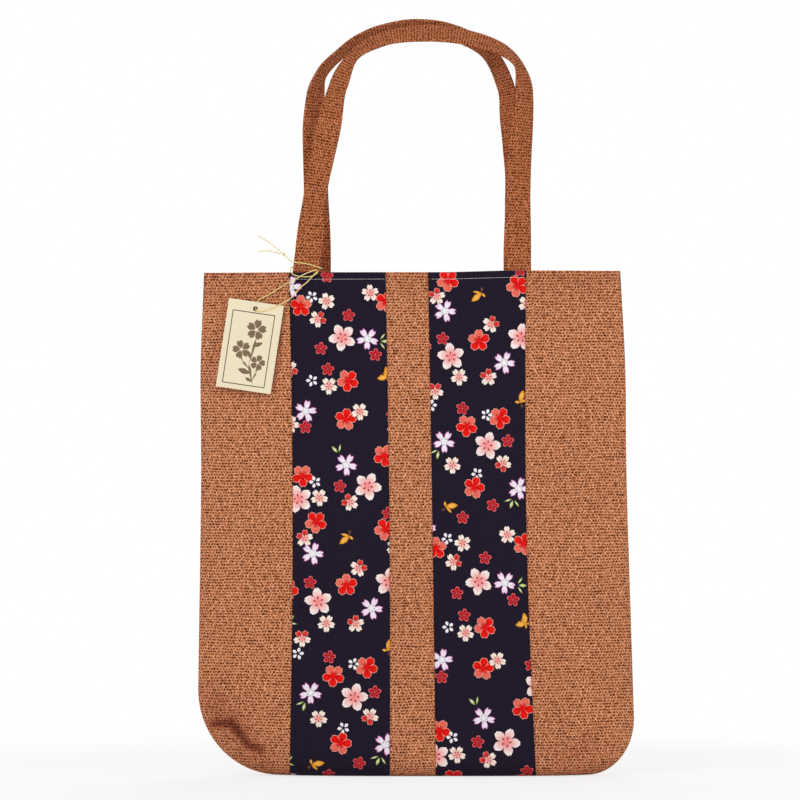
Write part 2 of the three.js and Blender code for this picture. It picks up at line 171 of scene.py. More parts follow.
FRONT_STRAND_POINTS = [
    (-0.4, 0.7, 0), (-3.5, -1.8, 0), (-9.3, -8, 0), (-15.1, -12.6, 0), (-18.9, -17.2, -0.55),
    (-23.5, -21.9, -1.1), (-28.5, -24.9, -1.15), (-33.4, -27.2, -1.1), (-38.1, -29.3, -1.1),
    (-43, -31, -1.1), (-47.4, -31.8, -1.1), (-50.4, -31.4, -1.1), (-51.8, -30.6, -1.05),
    (-52.6, -29.9, -0.45),
]
BACK_STRAND_POINTS = [
    (-1.3, 1.9, 0), (-5.4, 0.8, 0), (-13.2, -2.3, 0), (-18.9, -5.6, 0), (-26.6, -9.3, 0.4),
    (-33.4, -13.1, 1), (-40.1, -17.4, 1.15), (-45.8, -20.2, 1.15), (-50.4, -22.9, 1.15),
    (-52.6, -26, 1.15), (-52.8, -28.4, 1.1), (-52.6, -29.6, 0.5),
]


def mix(a, b, share):
    return a + (b - a) * share


def smooth(share):
    t = np.clip(share, 0, 1)
    return t * t * (3 - 2 * t)


def linear(red, green, blue):
    """A colour as it is seen, from 0 to 255, as Blender wants it."""
    parts = (red / 255, green / 255, blue / 255)
    return tuple(((part + 0.055) / 1.055) ** 2.4 if part > 0.04 else part / 12.92 for part in parts)


def unit(vector):
    return vector / np.linalg.norm(vector)


# The body's shape. An inset is how deep a face of the cloth lies under the bag's outer face.

def squareness(z):
    return smooth((BODY_HEIGHT - z) / (BODY_HEIGHT - BELLY_HEIGHT))


def half_depth(z):
    return mix(MOUTH_DEPTH, BELLY_DEPTH, squareness(z)) / 2


def section_at(z):
    share = squareness(z)
    return mix(MOUTH_SECTION[0], BASE_SECTION[0], share), mix(MOUTH_SECTION[1], BASE_SECTION[1], share)


def side_inset(z, inset):
    power, rounding = section_at(z)
    half_width = (MOUTH_REACH["left"] + MOUTH_REACH["right"]) / 2
    share = inset / half_depth(z)
    return np.maximum(inset, half_width * (1 - (1 - share ** (1 / rounding)) ** (1 / power)))


def side_reach(side, z, inset):
    up = np.maximum(0, z - CORNER_UP[side]) / (BODY_HEIGHT - CORNER_UP[side])
    bulge = SIDE_BULGE * np.exp(-(((z - SIDE_BULGE_HEIGHT) / SIDE_BULGE_RUN) ** 2))
    straight = mix(WIDEST_REACH, MOUTH_REACH[side], up) + bulge - side_inset(z, inset)
    drop = np.clip((CORNER_UP[side] - z) / (CORNER_UP[side] - inset), 0, 1)
    return straight - (CORNER_ACROSS[side] - inset) * (1 - np.sqrt(1 - drop * drop))


def base_edge(z, inset):
    radius = BASE_EDGE_RADIUS - inset
    below = np.clip(BASE_EDGE_RADIUS - z, 0, radius)
    return radius - np.sqrt(radius * radius - below * below)


def face_reach(x, z, inset):
    """How far the face at this inset stands from the bag's middle plane."""
    left = -side_reach("left", z, inset)
    right = side_reach("right", z, inset)
    across = np.clip(np.abs((2 * x - left - right) / (right - left)), 0, 1)
    power, rounding = section_at(z)
    depth = half_depth(z) - inset - base_edge(z, inset) - SEAM_GAP / 2
    return SEAM_GAP / 2 + depth * (1 - across**power) ** rounding


def straight_seam(seam, z):
    mouth, base = SEAMS[seam]
    return mix(base, mouth, z / BODY_HEIGHT)


def seam_at(seam, z):
    return straight_seam(seam, z) + SEAM_BOWS[seam] * np.sin(math.pi * np.clip(z / BODY_HEIGHT, 0, 1))


def strip_span(start, end):
    """A strip's two edges at a height: seams, or the bag's sides where none is named."""
    def span(z, inset):
        left = seam_at(start, z) + SEAM_GAP / 2 if start else -side_reach("left", z, inset)
        right = seam_at(end, z) - SEAM_GAP / 2 if end else side_reach("right", z, inset)
        return left, right
    return span


def fall(down, inset):
    """How high the cloth is so far down it, and its share of the way in under the base."""
    turn = np.clip((down - WALL_RUN) / BASE_EDGE_RADIUS, 0, math.pi / 2)
    rounded = BASE_EDGE_RADIUS - (BASE_EDGE_RADIUS - inset) * np.sin(turn)
    z = np.where(down < WALL_RUN, BODY_HEIGHT - down, rounded)
    return z, np.clip((down - UNDER_RUN) / BASE_RUN, 0, 1)


# How the cloth hangs: long soft waves, puckers along the seams and creases at the lower corners. It only
# hangs in from its full form, so that it stays clear of what lies on it.
WAVES = [
    {"size": 0.9, "across": 150, "up": 420, "phase": 0.6},
    {"size": 0.7, "across": -83, "up": 230, "phase": 2.1},
    {"size": 0.35, "across": 47, "up": -130, "phase": 4.0},
]
PUCKER_SIZE = 0.35
PUCKER_RUN = 9.5
PUCKER_REACH = 7

# The cloth is calm at the mouth and at the base: over how many millimetres the waves and the puckers begin
CALM_HEIGHT = 8
WAVE_CALM = {"mouth": 70, "base": 50}
PUCKER_CALM = {"mouth": 12, "base": 20}

# The creases of the front (-1) and of the back (1), as lines across and up, with how deep and wide each is,
# and how dark the shade painted in and beside it is
CREASES = {
    -1: [
        {"line": [(-165.5, 41.5), (-151.5, 42.3), (-143, 33), (-138.4, 25.5), (-127, 20.5)],
         "depth": 5.5, "width": 3.2, "shade": 0.52},
        {"line": [(-166, 62), (-158, 50), (-146, 40)], "depth": 0.6, "width": 8, "shade": 0.17},
        {"line": [(148, 33), (136, 21), (120, 16)], "depth": 1.6, "width": 5, "shade": 0.1},
    ],
    1: [
        {"line": [(150, 44), (134, 36), (126, 22)], "depth": 3, "width": 4.5, "shade": 0.3},
        {"line": [(-160, 46), (-143, 30), (-125, 20)], "depth": 1.8, "width": 5, "shade": 0.15},
    ],
}

# Shade is painted along the hem's fold at the mouth, and fades down the cloth. Near the side seams the cloth
# is held.
HEM_SHADE = 0.1
HEM_SHADE_RUN = 34
HELD_REACH = 12


def distance_to_line(x, z, line):
    nearest = np.full(np.shape(x), 1e9)
    for (x0, z0), (x1, z1) in zip(line, line[1:]):
        length = (x1 - x0) ** 2 + (z1 - z0) ** 2
        share = np.clip(((x - x0) * (x1 - x0) + (z - z0) * (z1 - z0)) / length, 0, 1)
        nearest = np.minimum(nearest, np.hypot(x - mix(x0, x1, share), z - mix(z0, z1, share)))
    return nearest


def hang(x, z, facing):
    """How far the cloth hangs in from its full form."""
    calm = smooth((BODY_HEIGHT - z) / WAVE_CALM["mouth"]) * smooth((z - CALM_HEIGHT) / WAVE_CALM["base"])
    waves = 0
    for wave in WAVES:
        turns = x * facing / wave["across"] + z / wave["up"]
        waves = waves + wave["size"] * (1 + np.sin(2 * math.pi * turns + wave["phase"]))
    puckers = 0
    for number, seam in enumerate(SEAMS):
        off = np.abs(x - seam_at(seam, z))
        ripple = 1 + np.sin(2 * math.pi * z / PUCKER_RUN + 1.7 * number + np.sin(z / 23))
        puckers = puckers + PUCKER_SIZE * ripple * (1 - smooth(off / PUCKER_REACH))
    begun = smooth((BODY_HEIGHT - z) / PUCKER_CALM["mouth"])
    inwards = calm * waves + begun * smooth((z - CALM_HEIGHT) / PUCKER_CALM["base"]) * puckers
    for crease in CREASES[facing]:
        off = distance_to_line(x, z, crease["line"])
        inwards = inwards + crease["depth"] * np.exp(-((off / crease["width"]) ** 2))
    return inwards


def crease_shade(x, z, facing):
    """The shade painted on the cloth in and beside its creases, and where the hem is folded."""
    shade = HEM_SHADE * smooth(1 - (BODY_HEIGHT - z) / HEM_SHADE_RUN)
    for crease in CREASES[facing]:
        off = distance_to_line(x, z, crease["line"]) / crease["width"]
        shade = shade + crease["shade"] * (0.75 * np.exp(-(off**2)) + 0.25 * np.exp(-((off / 3) ** 2)))
    return shade


def body_point(facing, x, z, inwards, inset, dip=0):
    """Where a face of the body's cloth is, with a dip for a rolled edge."""
    reach = face_reach(x, z, inset)
    held = smooth((reach - SEAM_GAP) / HELD_REACH)
    wall = reach - held * hang(x, z, facing) - np.minimum(dip, np.maximum(0, reach - SEAM_GAP / 2))
    y = facing * mix(wall, SEAM_GAP / 2, inwards)
    sag = MOUTH_SAG * smooth((MOUTH_SAG_END - x) / MOUTH_SAG_TAPER)
    sag = sag * smooth(1 - (BODY_HEIGHT - z) / MOUTH_SAG_RUN)
    return np.stack([x, y, z - sag], axis=-1)


# Meshes

def make_object(name, points, faces, material, uv=None, colours=None, shade=None):
    """An object from points in millimetres. uv has a point of the flat cloth for each point."""
    mesh = bpy.data.meshes.new(name)
    mesh.from_pydata((np.asarray(points, float) * MM).tolist(), [], faces)
    corner_points = np.empty(len(mesh.loops), int)
    mesh.loops.foreach_get("vertex_index", corner_points)
    if uv is not None:
        layer = mesh.uv_layers.new(name="cloth")
        layer.data.foreach_set("uv", np.asarray(uv, np.float32)[corner_points].ravel())
    if colours is not None:
        layer = mesh.color_attributes.new("print", "FLOAT_COLOR", "CORNER")
        layer.data.foreach_set("color", np.asarray(colours, np.float32).ravel())
    if shade is not None:
        layer = mesh.attributes.new("crease_shade", "FLOAT", "POINT")
        layer.data.foreach_set("value", np.asarray(shade, np.float32))
    mesh.shade_smooth()
    mesh.set_sharp_from_angle(angle=math.radians(50))
    mesh.materials.append(material)
    mesh.validate()
    piece = bpy.data.objects.new(name, mesh)
    bpy.context.scene.collection.objects.link(piece)
    return piece


def grid_faces(rows, columns):
    """The quads of a grid of points, in rows from the top, each from left to right."""
    corners = [(row, column) for row in range(rows - 1) for column in range(columns - 1)]
    return [
        (row * columns + column, (row + 1) * columns + column,
         (row + 1) * columns + column + 1, row * columns + column + 1)
        for row, column in corners
    ]


def closed_faces(faces, count):
    """Those faces, the same ones reversed on a second layer of points, and a rim that joins the two."""
    edges = {(a, b) for face in faces for a, b in zip(face, face[1:] + face[:1])}
    rim = [(b, a, a + count, b + count) for a, b in sorted(edges) if (b, a) not in edges]
    inner = [tuple(point + count for point in reversed(face)) for face in faces]
    return list(faces) + inner + rim


def reversed_faces(faces):
    return [tuple(reversed(face)) for face in faces]


# Materials

class Nodes:
    """The nodes of a material or a world, which are added one after another."""

    def __init__(self, owner):
        owner.use_nodes = True
        self.tree = owner.node_tree

    def feed(self, socket, value):
        if isinstance(value, bpy.types.NodeSocket):
            self.tree.links.new(value, socket)
        else:
            socket.default_value = value

    def node(self, kind, inputs, **settings):
        made = self.tree.nodes.new(kind)
        for name, value in settings.items():
            setattr(made, name, value)
        for key, value in inputs.items():
            self.feed(made.inputs[key], value)
        return made

    def math(self, operation, *values):
        made = self.node("ShaderNodeMath", {}, operation=operation)
        for socket, value in zip(made.inputs, values):
            self.feed(socket, value)
        return made.outputs[0]

    def plus(self, a, b):
        return self.math("ADD", a, b)

    def minus(self, a, b):
        return self.math("SUBTRACT", a, b)

    def times(self, a, b):
        return self.math("MULTIPLY", a, b)

    def over(self, a, b):
        return self.math("DIVIDE", a, b)

    def spread(self, value, low, high, to_low=0, to_high=1):
        """value's way from low to high, as a smooth step."""
        inputs = {"Value": value, "From Min": low, "From Max": high, "To Min": to_low, "To Max": to_high}
        return self.node("ShaderNodeMapRange", inputs, interpolation_type="SMOOTHSTEP").outputs[0]

    def seen_directly(self):
        """1 where the camera, or a reflection or a clear thing in front, looks at a surface."""
        rays = self.node("ShaderNodeLightPath", {}).outputs
        seen = self.math("MAXIMUM", rays["Is Camera Ray"], rays["Is Glossy Ray"])
        return self.math("MAXIMUM", seen, rays["Is Transmission Ray"])


class Shader(Nodes):
    """A material's nodes, round its one surface."""

    def __init__(self, name, roughness, specular=0.3):
        self.material = bpy.data.materials.new(name)
        super().__init__(self.material)
        self.surface = self.tree.nodes["Principled BSDF"]
        self.surface.inputs["Roughness"].default_value = roughness
        self.surface.inputs["Specular IOR Level"].default_value = specular

    def noise(self, place, scale, detail=2):
        inputs = {"Vector": place, "Scale": scale, "Detail": detail}
        return self.node("ShaderNodeTexNoise", inputs).outputs["Fac"]

    def blend(self, share, a, b, how="MIX"):
        made = self.node("ShaderNodeMix", {}, data_type="RGBA", blend_type=how)
        for index, value in ((0, share), (6, a), (7, b)):
            self.feed(made.inputs[index], value)
        return made.outputs[2]

    def grey(self, value):
        inputs = {"Red": value, "Green": value, "Blue": value}
        return self.node("ShaderNodeCombineColor", inputs).outputs[0]

    def cloth_place(self):
        """The point of the flat cloth, in millimetres, and its two parts."""
        place = self.node("ShaderNodeUVMap", {}, uv_map="cloth").outputs["UV"]
        parts = self.node("ShaderNodeSeparateXYZ", {"Vector": place}).outputs
        return place, parts[0], parts[1]

    def bump(self, height, strength, distance):
        inputs = {"Height": height, "Strength": strength, "Distance": distance * MM}
        bump = self.node("ShaderNodeBump", inputs)
        self.feed(self.surface.inputs["Normal"], bump.outputs[0])

    def paint(self, colour):
        self.feed(self.surface.inputs["Base Color"], colour)

    def paint_toned(self, colour, tone):
        """Paint it with a colour times a brightness."""
        self.paint(self.blend(1, colour, self.grey(tone), "MULTIPLY"))

    def print_colour(self):
        return self.node("ShaderNodeAttribute", {}, attribute_name="print").outputs["Color"]


# The canvas's weave, in millimetres. Its rows sway over a long run and jitter over a short one.
ROW_PITCH = 2.37
COLUMN_PITCH = 2.6
ROW_SWAY = 3.4
ROW_JITTER = 1.1

# Columns drift by so many pitches. A gap may lie off its cell's middle, by a share of the cell, and be
# longer than it is high. Gaps differ in radius and in how dark they are.
COLUMN_DRIFT = 1.3
GAP_FREEDOM = {"across": 0.36, "down": 0.16}
GAP_STRETCH = (1, 1.75)
GAP_RADIUS = (0.82, 1.16)
GAP_DARKNESS = (0.45, 0.96)

# Its colours, the colour of the shade painted in its creases, and the painted shade that the straps' canvas
# is multiplied by
CANVAS_BODY = linear(194, 119, 77)
CANVAS_THREAD = linear(242, 171, 131)
CANVAS_GAP = linear(66, 18, 2)
CREASE_SHADE_COLOUR = linear(206, 96, 66)
STRAP_SHADE = (0.75, 0.61, 0.51)


def woven_gaps(shader, place, across, down):
    """How far a point lies from the middle of its gap in the weave, and a chance number for that gap."""
    sway = shader.times(shader.noise(place, 0.022), ROW_SWAY)
    jitter = shader.times(shader.noise(place, 0.3), ROW_JITTER)
    rows = shader.over(shader.plus(down, shader.plus(sway, jitter)), ROW_PITCH)
    row = shader.math("FLOOR", rows)
    shift = shader.times(shader.math("FLOORED_MODULO", row, 2), 0.5)
    drift = shader.times(shader.noise(place, 0.24), COLUMN_DRIFT)
    columns = shader.over(across, COLUMN_PITCH)
    columns = shader.plus(columns, shader.plus(shift, drift))
    column = shader.math("FLOOR", columns)
    cell = shader.node("ShaderNodeCombineXYZ", {"X": column, "Y": row}).outputs[0]
    chance = shader.node("ShaderNodeTexWhiteNoise", {"Vector": cell}, noise_dimensions="2D")
    chances = shader.node("ShaderNodeSeparateColor", {"Color": chance.outputs["Color"]}).outputs

    def from_gap(position, whole, luck, freedom, pitch):
        middle = shader.times(shader.minus(luck, 0.5), freedom)
        offset = shader.minus(shader.minus(position, whole), 0.5)
        return shader.times(shader.minus(offset, middle), pitch)

    length = shader.spread(shader.noise(place, 0.2), 0.45, 0.68, *GAP_STRETCH)
    offset = from_gap(columns, column, chances[0], GAP_FREEDOM["across"], COLUMN_PITCH)
    sideways = shader.over(offset, length)
    upright = from_gap(rows, row, chances[1], GAP_FREEDOM["down"], ROW_PITCH)
    squares = shader.plus(shader.math("POWER", sideways, 2), shader.math("POWER", upright, 2))
    return shader.math("SQRT", squares), chances[2]


def canvas_material(name, painted_shade):
    """A thick open weave: rows of small dark gaps, set like bricks, with pale thread between them."""
    shader = Shader(name, 1, 0.08)
    place, across, down = shader.cloth_place()
    distance, luck = woven_gaps(shader, place, across, down)
    rim = shader.spread(luck, 0, 1, *GAP_RADIUS)
    gap = shader.spread(distance, rim, shader.times(rim, 0.22))
    depth = shader.spread(luck, 0, 0.6, *GAP_DARKNESS)
    ring = shader.spread(distance, 0.75, 1.15)
    fuzz = shader.noise(place, 0.75, 4)
    pale = shader.times(ring, shader.spread(fuzz, 0.36, 0.6))
    body = tuple(a * b for a, b in zip(CANVAS_BODY, painted_shade))
    strand = tuple(a * b for a, b in zip(CANVAS_THREAD, painted_shade))
    thread = shader.blend(pale, body + (1,), strand + (1,))
    tone = shader.plus(shader.times(shader.noise(place, 0.02, 3), 0.2), 0.9)
    tone = shader.times(tone, shader.spread(fuzz, 0.28, 0.72, 0.84, 1.12))
    # Painted shade: the cloth is darkened and reddened in and beside its creases, and along the hem's fold
    crease = shader.node("ShaderNodeAttribute", {}, attribute_name="crease_shade").outputs["Fac"]
    tone = shader.times(tone, shader.minus(1, crease))
    shade_tinted = shader.blend(crease, thread, CREASE_SHADE_COLOUR + (1,))
    toned = shader.blend(1, shade_tinted, shader.grey(tone), "MULTIPLY")
    shader.paint(shader.blend(shader.times(gap, depth), toned, CANVAS_GAP + (1,)))
    relief = shader.minus(shader.times(pale, 0.5), gap)
    relief = shader.plus(relief, shader.times(fuzz, 0.5))
    shader.bump(relief, 0.8, 0.4)
    return shader.material


def plain_weave(shader, pitch, bump_depth, contrast):
    """A fine plain weave's brightness, with its relief."""
    place, across, down = shader.cloth_place()
    turn = 2 * math.pi / pitch
    warp = shader.math("SINE", shader.times(across, turn))
    weft = shader.math("SINE", shader.times(down, turn))
    weave = shader.times(warp, weft)
    slub = shader.noise(place, 0.5, 4)
    relief = shader.plus(shader.times(weave, 0.5), slub)
    shader.bump(relief, 0.5, bump_depth)
    tone = shader.times(shader.plus(shader.times(weave, 0.4), slub), contrast)
    return shader.plus(tone, 1 - contrast / 2)


def printed_material():
    shader = Shader("printed_cloth", 0.92, 0.12)
    tone = plain_weave(shader, 0.8, 0.14, 0.7)
    shader.paint_toned(shader.print_colour(), tone)
    return shader.material


LINING_BROWN = linear(92, 66, 50)
# The gold thread's colour, and the highlight painted on the ridges of its twist
DARK_GOLD_THREAD = linear(222, 190, 92)
GOLD_THREAD_HIGHLIGHT = linear(255, 244, 176)


def lining_material():
    shader = Shader("lining_cloth", 0.85, 0.2)
    tone = plain_weave(shader, 0.7, 0.12, 0.35)
    shader.paint_toned(LINING_BROWN + (1,), tone)
    return shader.material


def card_material():
    """Uncoated card with a little fibre in it, and the ink of its print."""
    shader = Shader("tag_card", 0.75, 0.3)
    place = shader.cloth_place()[0]
    fibre = shader.noise(place, 0.9, 5)
    tone = shader.spread(fibre, 0.2, 0.8, 0.95, 1.02)
    shader.paint_toned(shader.print_colour(), tone)
    shader.bump(fibre, 0.3, 0.08)
    return shader.material


def thread_material():
    """Gold-coloured metallic thread, with a pale highlight painted on the ridges of its twist and darker
    gold between them.
    """
    shader = Shader("gold_thread", 0.38, 0.5)
    around, along = shader.cloth_place()[1:]
    twist = shader.math("SINE", shader.plus(shader.times(along, 5), around))
    glint = shader.spread(twist, -1, 1)
    shader.paint(shader.blend(glint, DARK_GOLD_THREAD + (1,), GOLD_THREAD_HIGHLIGHT + (1,)))
    shader.bump(twist, 0.5, 0.08)
    shader.surface.inputs["Metallic"].default_value = 0.35
    return shader.material


def stitch_material(name, colour):
    shader = Shader(name, 0.7, 0.3)
    place = shader.cloth_place()[0]
    tone = shader.spread(shader.noise(place, 3, 2), 0.2, 0.8, 0.85, 1.05)
    shader.paint_toned(colour + (1,), tone)
    return shader.material


CANVAS = canvas_material("brown_canvas", (1, 1, 1))
# The straps' canvas is the body's canvas with painted shade multiplied in, which makes it darker and redder
SHADED_STRAP_CANVAS = canvas_material("shaded_strap_canvas", STRAP_SHADE)
PRINTED = printed_material()
LINING = lining_material()
CARD = card_material()
GOLD = thread_material()
PALE_STITCH = stitch_material("pale_sewing_thread", linear(246, 240, 240))
BROWN_STITCH = stitch_material("brown_sewing_thread", linear(168, 108, 76))


# The print. A region is an outline, in millimetres across and up, and a way to find its colour at a point.

def flat_colour(colour):
    return lambda x, y: colour


def fading(middle, inner, outer, radius, start=0):
    """A colour that fades from one to the other between two distances from a middle."""
    def colour_at(x, y):
        away = math.hypot(x - middle[0], y - middle[1]) / radius
        share = min(1, max(0, (away - start) / (1 - start)))
        return tuple(mix(a, b, share) for a, b in zip(inner, outer))
    return colour_at


def placed(outline, middle, turn):
    """An outline of points along and across a direction, set round a middle."""
    angle = math.radians(turn)
    c, s = math.cos(angle), math.sin(angle)
    return [(middle[0] + a * c - b * s, middle[1] + a * s + b * c) for a, b in outline]


def petal(radius, width, notch, tip, start=0.05, fullest=0.66):
    """A petal's outline: narrow at the blossom's middle, broad further out, and notched between two tips."""
    side = [
        (start, 0.2 * width), (mix(start, fullest, 0.4), 0.66 * width),
        (mix(start, fullest, 0.75), 0.94 * width), (fullest, width),
        (mix(fullest, 1, 0.45), mix(width, tip, 0.3)), (1, tip),
    ]
    other = [(along, -across) for along, across in reversed(side)]
    return [(along * radius, across * radius) for along, across in side + [(1 - notch, 0)] + other]


def shrunk(outline, share):
    middle = [sum(part) / len(outline) for part in zip(*outline)]
    return [tuple(mix(m, p, share) for m, p in zip(middle, point)) for point in outline]


def stroke(start, end, width):
    """A thin kite along a direction, such as a stamen."""
    fullest = mix(start, end, 0.75)
    return [(start, 0), (fullest, -width / 2), (end, 0), (fullest, width / 2)]


WHITE = linear(254, 240, 236)
CREAM = linear(254, 238, 224)
PINK = linear(243, 136, 132)
PALE_PINK = linear(248, 146, 144)
SCARLET = linear(234, 20, 16)
WARM_RED = linear(236, 34, 26)
CORAL = linear(236, 110, 94)
SALMON = linear(252, 178, 158)
DARK_RED = linear(150, 12, 22)
CRIMSON = linear(198, 34, 44)
BRIGHT_RED = linear(226, 54, 52)
ROSE = linear(236, 120, 120)
LILAC = linear(212, 126, 196)
PALE_LILAC = linear(244, 214, 238)
PURPLE = linear(158, 60, 142)
COOL_WHITE = linear(246, 242, 248)
GREY_GREEN = linear(104, 112, 104)
LEAF_GREEN = linear(150, 172, 84)
PALE_GREEN = linear(226, 234, 180)
GOLD_LEAF = linear(232, 152, 40)
PALE_GOLD = linear(246, 188, 84)
DARK_GOLD = linear(150, 104, 66)
PRINT_GROUND = linear(32, 24, 41)
PETALS = 5


def petal_turns(turn):
    return [turn + 360 / PETALS * number for number in range(PETALS)]


def circle(radius, count):
    turns = np.linspace(0, 2 * math.pi, count + 1)[:-1]
    return [(radius * math.cos(turn), radius * math.sin(turn)) for turn in turns]


def petals(outline, middle, turn, colour_at):
    return [(placed(outline, middle, direction), colour_at) for direction in petal_turns(turn)]


def hearts(middle, radii, colour_at):
    """The round middle of a blossom, where its petals meet, as one disc on another."""
    return [(placed(circle(radius, 12), middle, 0), colour_at) for radius in radii]


def dashes(middle, turn, radius, start, end, width, colour, leans=(0,)):
    """Short strokes up each petal."""
    shape = stroke(start * radius, end * radius, width)
    return [
        (placed(shape, middle, direction + lean), flat_colour(colour))
        for direction in petal_turns(turn) for lean in leans
    ]


def big_blossom(middle, turn):
    radius = 11.6
    outline = petal(radius, 0.33, 0.06, 0.09, fullest=0.64)
    colour_at = fading(middle, PALE_PINK, WHITE, 0.88 * radius, 0.22)
    regions = petals(outline, middle, turn, colour_at)
    regions += hearts(middle, (0.45 * radius, 0.3 * radius), colour_at)
    return regions + dashes(middle, turn, radius, 0.15, 0.38, 1.5, DARK_RED)


def lilac_blossom(middle, turn):
    radius = 9.6
    rim = petal(radius, 0.28, 0.17, 0.17, fullest=0.7)
    regions = petals(rim, middle, turn, fading(middle, LILAC, PURPLE, radius, 0.6))
    colour_at = fading(middle, COOL_WHITE, PALE_LILAC, 0.9 * radius, 0.55)
    regions += petals(shrunk(rim, 0.82), middle, turn, colour_at)
    regions += hearts(middle, [0.34 * radius], colour_at)
    return regions + dashes(middle, turn, radius, 0.16, 0.34, 0.55, GREY_GREEN, (-13, 13))


def coral_blossom(middle, turn):
    """Red petals with a light rim, two of them paler."""
    radius = 9.2
    rim = petal(radius, 0.385, 0.07, 0.16, fullest=0.67)
    face = shrunk(rim, 0.9)
    regions = petals(rim, middle, turn, flat_colour(SALMON))
    pale = fading(middle, SCARLET, CORAL, 0.5 * radius, 0.1)
    deep = fading(middle, SCARLET, WARM_RED, radius, 0.6)
    for number, direction in enumerate(petal_turns(turn)):
        regions.append((placed(face, middle, direction), pale if number < 2 else deep))
    regions += hearts(middle, [0.26 * radius], deep)
    return regions + dashes(middle, turn, radius, 0.16, 0.44, 0.7, DARK_RED, (-12, 12))


def small_red_blossom(middle, turn):
    radius = 5.5
    rim = petal(radius, 0.34, 0.05, 0.13, start=0.14)
    regions = []
    for direction in petal_turns(turn):
        regions.append((placed(rim, middle, direction), fading(middle, CRIMSON, ROSE, radius, 0.3)))
        regions.append((placed(shrunk(rim, 0.7), middle, direction), flat_colour(CRIMSON)))
        regions.append((placed(shrunk(rim, 0.3), middle, direction), flat_colour(DARK_RED)))
    return regions + hearts(middle, [0.11 * radius], flat_colour(ROSE))


def small_white_blossom(middle, turn):
    radius = 4.9
    outline = petal(radius, 0.28, 0, 0.06, start=0.26, fullest=0.72)
    return petals(outline, middle, turn, flat_colour(COOL_WHITE))


def cream_blossom(middle, turn, red_petals=0):
    radius = 7.2
    outline = petal(radius, 0.33, 0.13, 0.17, fullest=0.7)
    colour_at = fading(middle, PINK, CREAM, 0.66 * radius, 0.1)
    regions = []
    for number, direction in enumerate(petal_turns(turn)):
        whole = placed(outline, middle, direction)
        if number < red_petals:
            regions.append((whole, flat_colour(SALMON)))
            face = placed(shrunk(outline, 0.88), middle, direction)
            regions.append((face, fading(middle, DARK_RED, BRIGHT_RED, 0.7 * radius, 0.1)))
        else:
            regions.append((whole, colour_at))
    regions += hearts(middle, (0.38 * radius, 0.2 * radius), colour_at)
    return regions + dashes(middle, turn, radius, 0.17, 0.42, 1.15, DARK_RED)


def half_red_blossom(middle, turn):
    return cream_blossom(middle, turn, red_petals=2)


def leaf_shape(length, width):
    side = [(0.2, 0.3), (0.5, 0.5), (0.8, 0.32)]
    upper = [(along * length, across * width) for along, across in side]
    lower = [(along, -across) for along, across in reversed(upper)]
    return [(0, 0)] + upper + [(length, 0)] + lower


def blades(middle, turn, shapes, start, rim, face):
    """Leaves that spread from a point, each given as its lean, length and width."""
    regions = []
    for lean, length, width in shapes:
        blade = [(along + start, across) for along, across in leaf_shape(length - start, width)]
        regions.append((placed(blade, middle, turn + lean), flat_colour(rim)))
        regions.append((placed(shrunk(blade, 0.62), middle, turn + lean), flat_colour(face)))
    return regions


def green_leaves(middle, turn):
    shapes = [(-52, 8.3, 1.7), (0, 8.6, 2.9), (54, 8.3, 1.7)]
    return blades(middle, turn, shapes, 1.5, LEAF_GREEN, PALE_GREEN)


def leaf_pair(middle, turn):
    return blades(middle, turn, [(-54, 8.3, 1.7), (0, 8.4, 2.8)], 1.2, LEAF_GREEN, PALE_GREEN)


def golden_buds(middle, turn):
    """Three buds on two stalks."""
    shapes = [(-52, 7.3, 2.1), (95, 4.5, 2.2), (0, 10.5, 5)]
    stalk = stroke(0, 5, 0.5)
    stalks = [(placed(stalk, middle, turn + lean), flat_colour(DARK_GOLD)) for lean in (215, 235)]
    return stalks + blades(middle, turn, shapes, 0, GOLD_LEAF, PALE_GOLD)


def golden_twins(middle, turn):
    shapes = [(38, 5.5, 1.8), (66, 7, 1.8), (170, 4, 1.8), (260, 4, 1.8), (0, 9, 4.6), (87, 9, 4.6)]
    return blades(middle, turn, shapes, 0, GOLD_LEAF, PALE_GOLD)


# The print's repeat, in two halves that follow each other down the cloth and stand side by side across it.
# A motif says what it is, how far across and down the strip it lies, and its turn.
FIRST_HALF = [
    (lilac_blossom, -0.6, 13.2, 2), (coral_blossom, 8, 29, 18), (small_white_blossom, 17, 21.4, 45),
    (small_red_blossom, 29.5, 4.5, 14), (cream_blossom, 29.4, 25.2, 32), (cream_blossom, 65.5, 18.5, 21),
    (coral_blossom, 78.5, 26, 216), (half_red_blossom, 22, 40, 342), (small_red_blossom, 47.5, 37, 10),
    (big_blossom, 42.3, 55.5, 44), (lilac_blossom, 63.2, 56.5, 50), (green_leaves, 72.8, 58.5, 357),
    (small_red_blossom, 24.6, 64.8, 12), (small_red_blossom, 69.7, 70, 12),
    (small_red_blossom, 30.3, 82, 11), (small_white_blossom, 17.4, 91.2, 36),
    (cream_blossom, 31.4, 95.6, 52), (coral_blossom, 46.9, 91.2, 121), (half_red_blossom, -1, 82, 268),
    (golden_twins, 80, 88.5, 100), (lilac_blossom, 12.3, 116.3, 5), (small_red_blossom, 12, 129.3, 20),
    (cream_blossom, 0, 127, 66), (coral_blossom, 45.3, 123, 225), (cream_blossom, 56.8, 116.6, 58),
    (small_red_blossom, 83.7, 120.3, 10), (big_blossom, 89.5, 136, 2), (leaf_pair, 39.6, 151, 133),
    (lilac_blossom, 45.7, 159.8, 58), (coral_blossom, 76.8, 152.5, 62), (coral_blossom, 10, 169, 57),
    (small_white_blossom, 20.3, 174, 37), (small_red_blossom, 40.5, 177.5, 8),
    (big_blossom, 63.5, 177.5, 65), (big_blossom, 6.8, 188, 33), (cream_blossom, 23.8, 186.7, 58),
    (half_red_blossom, 48.9, 190.4, 112),
]
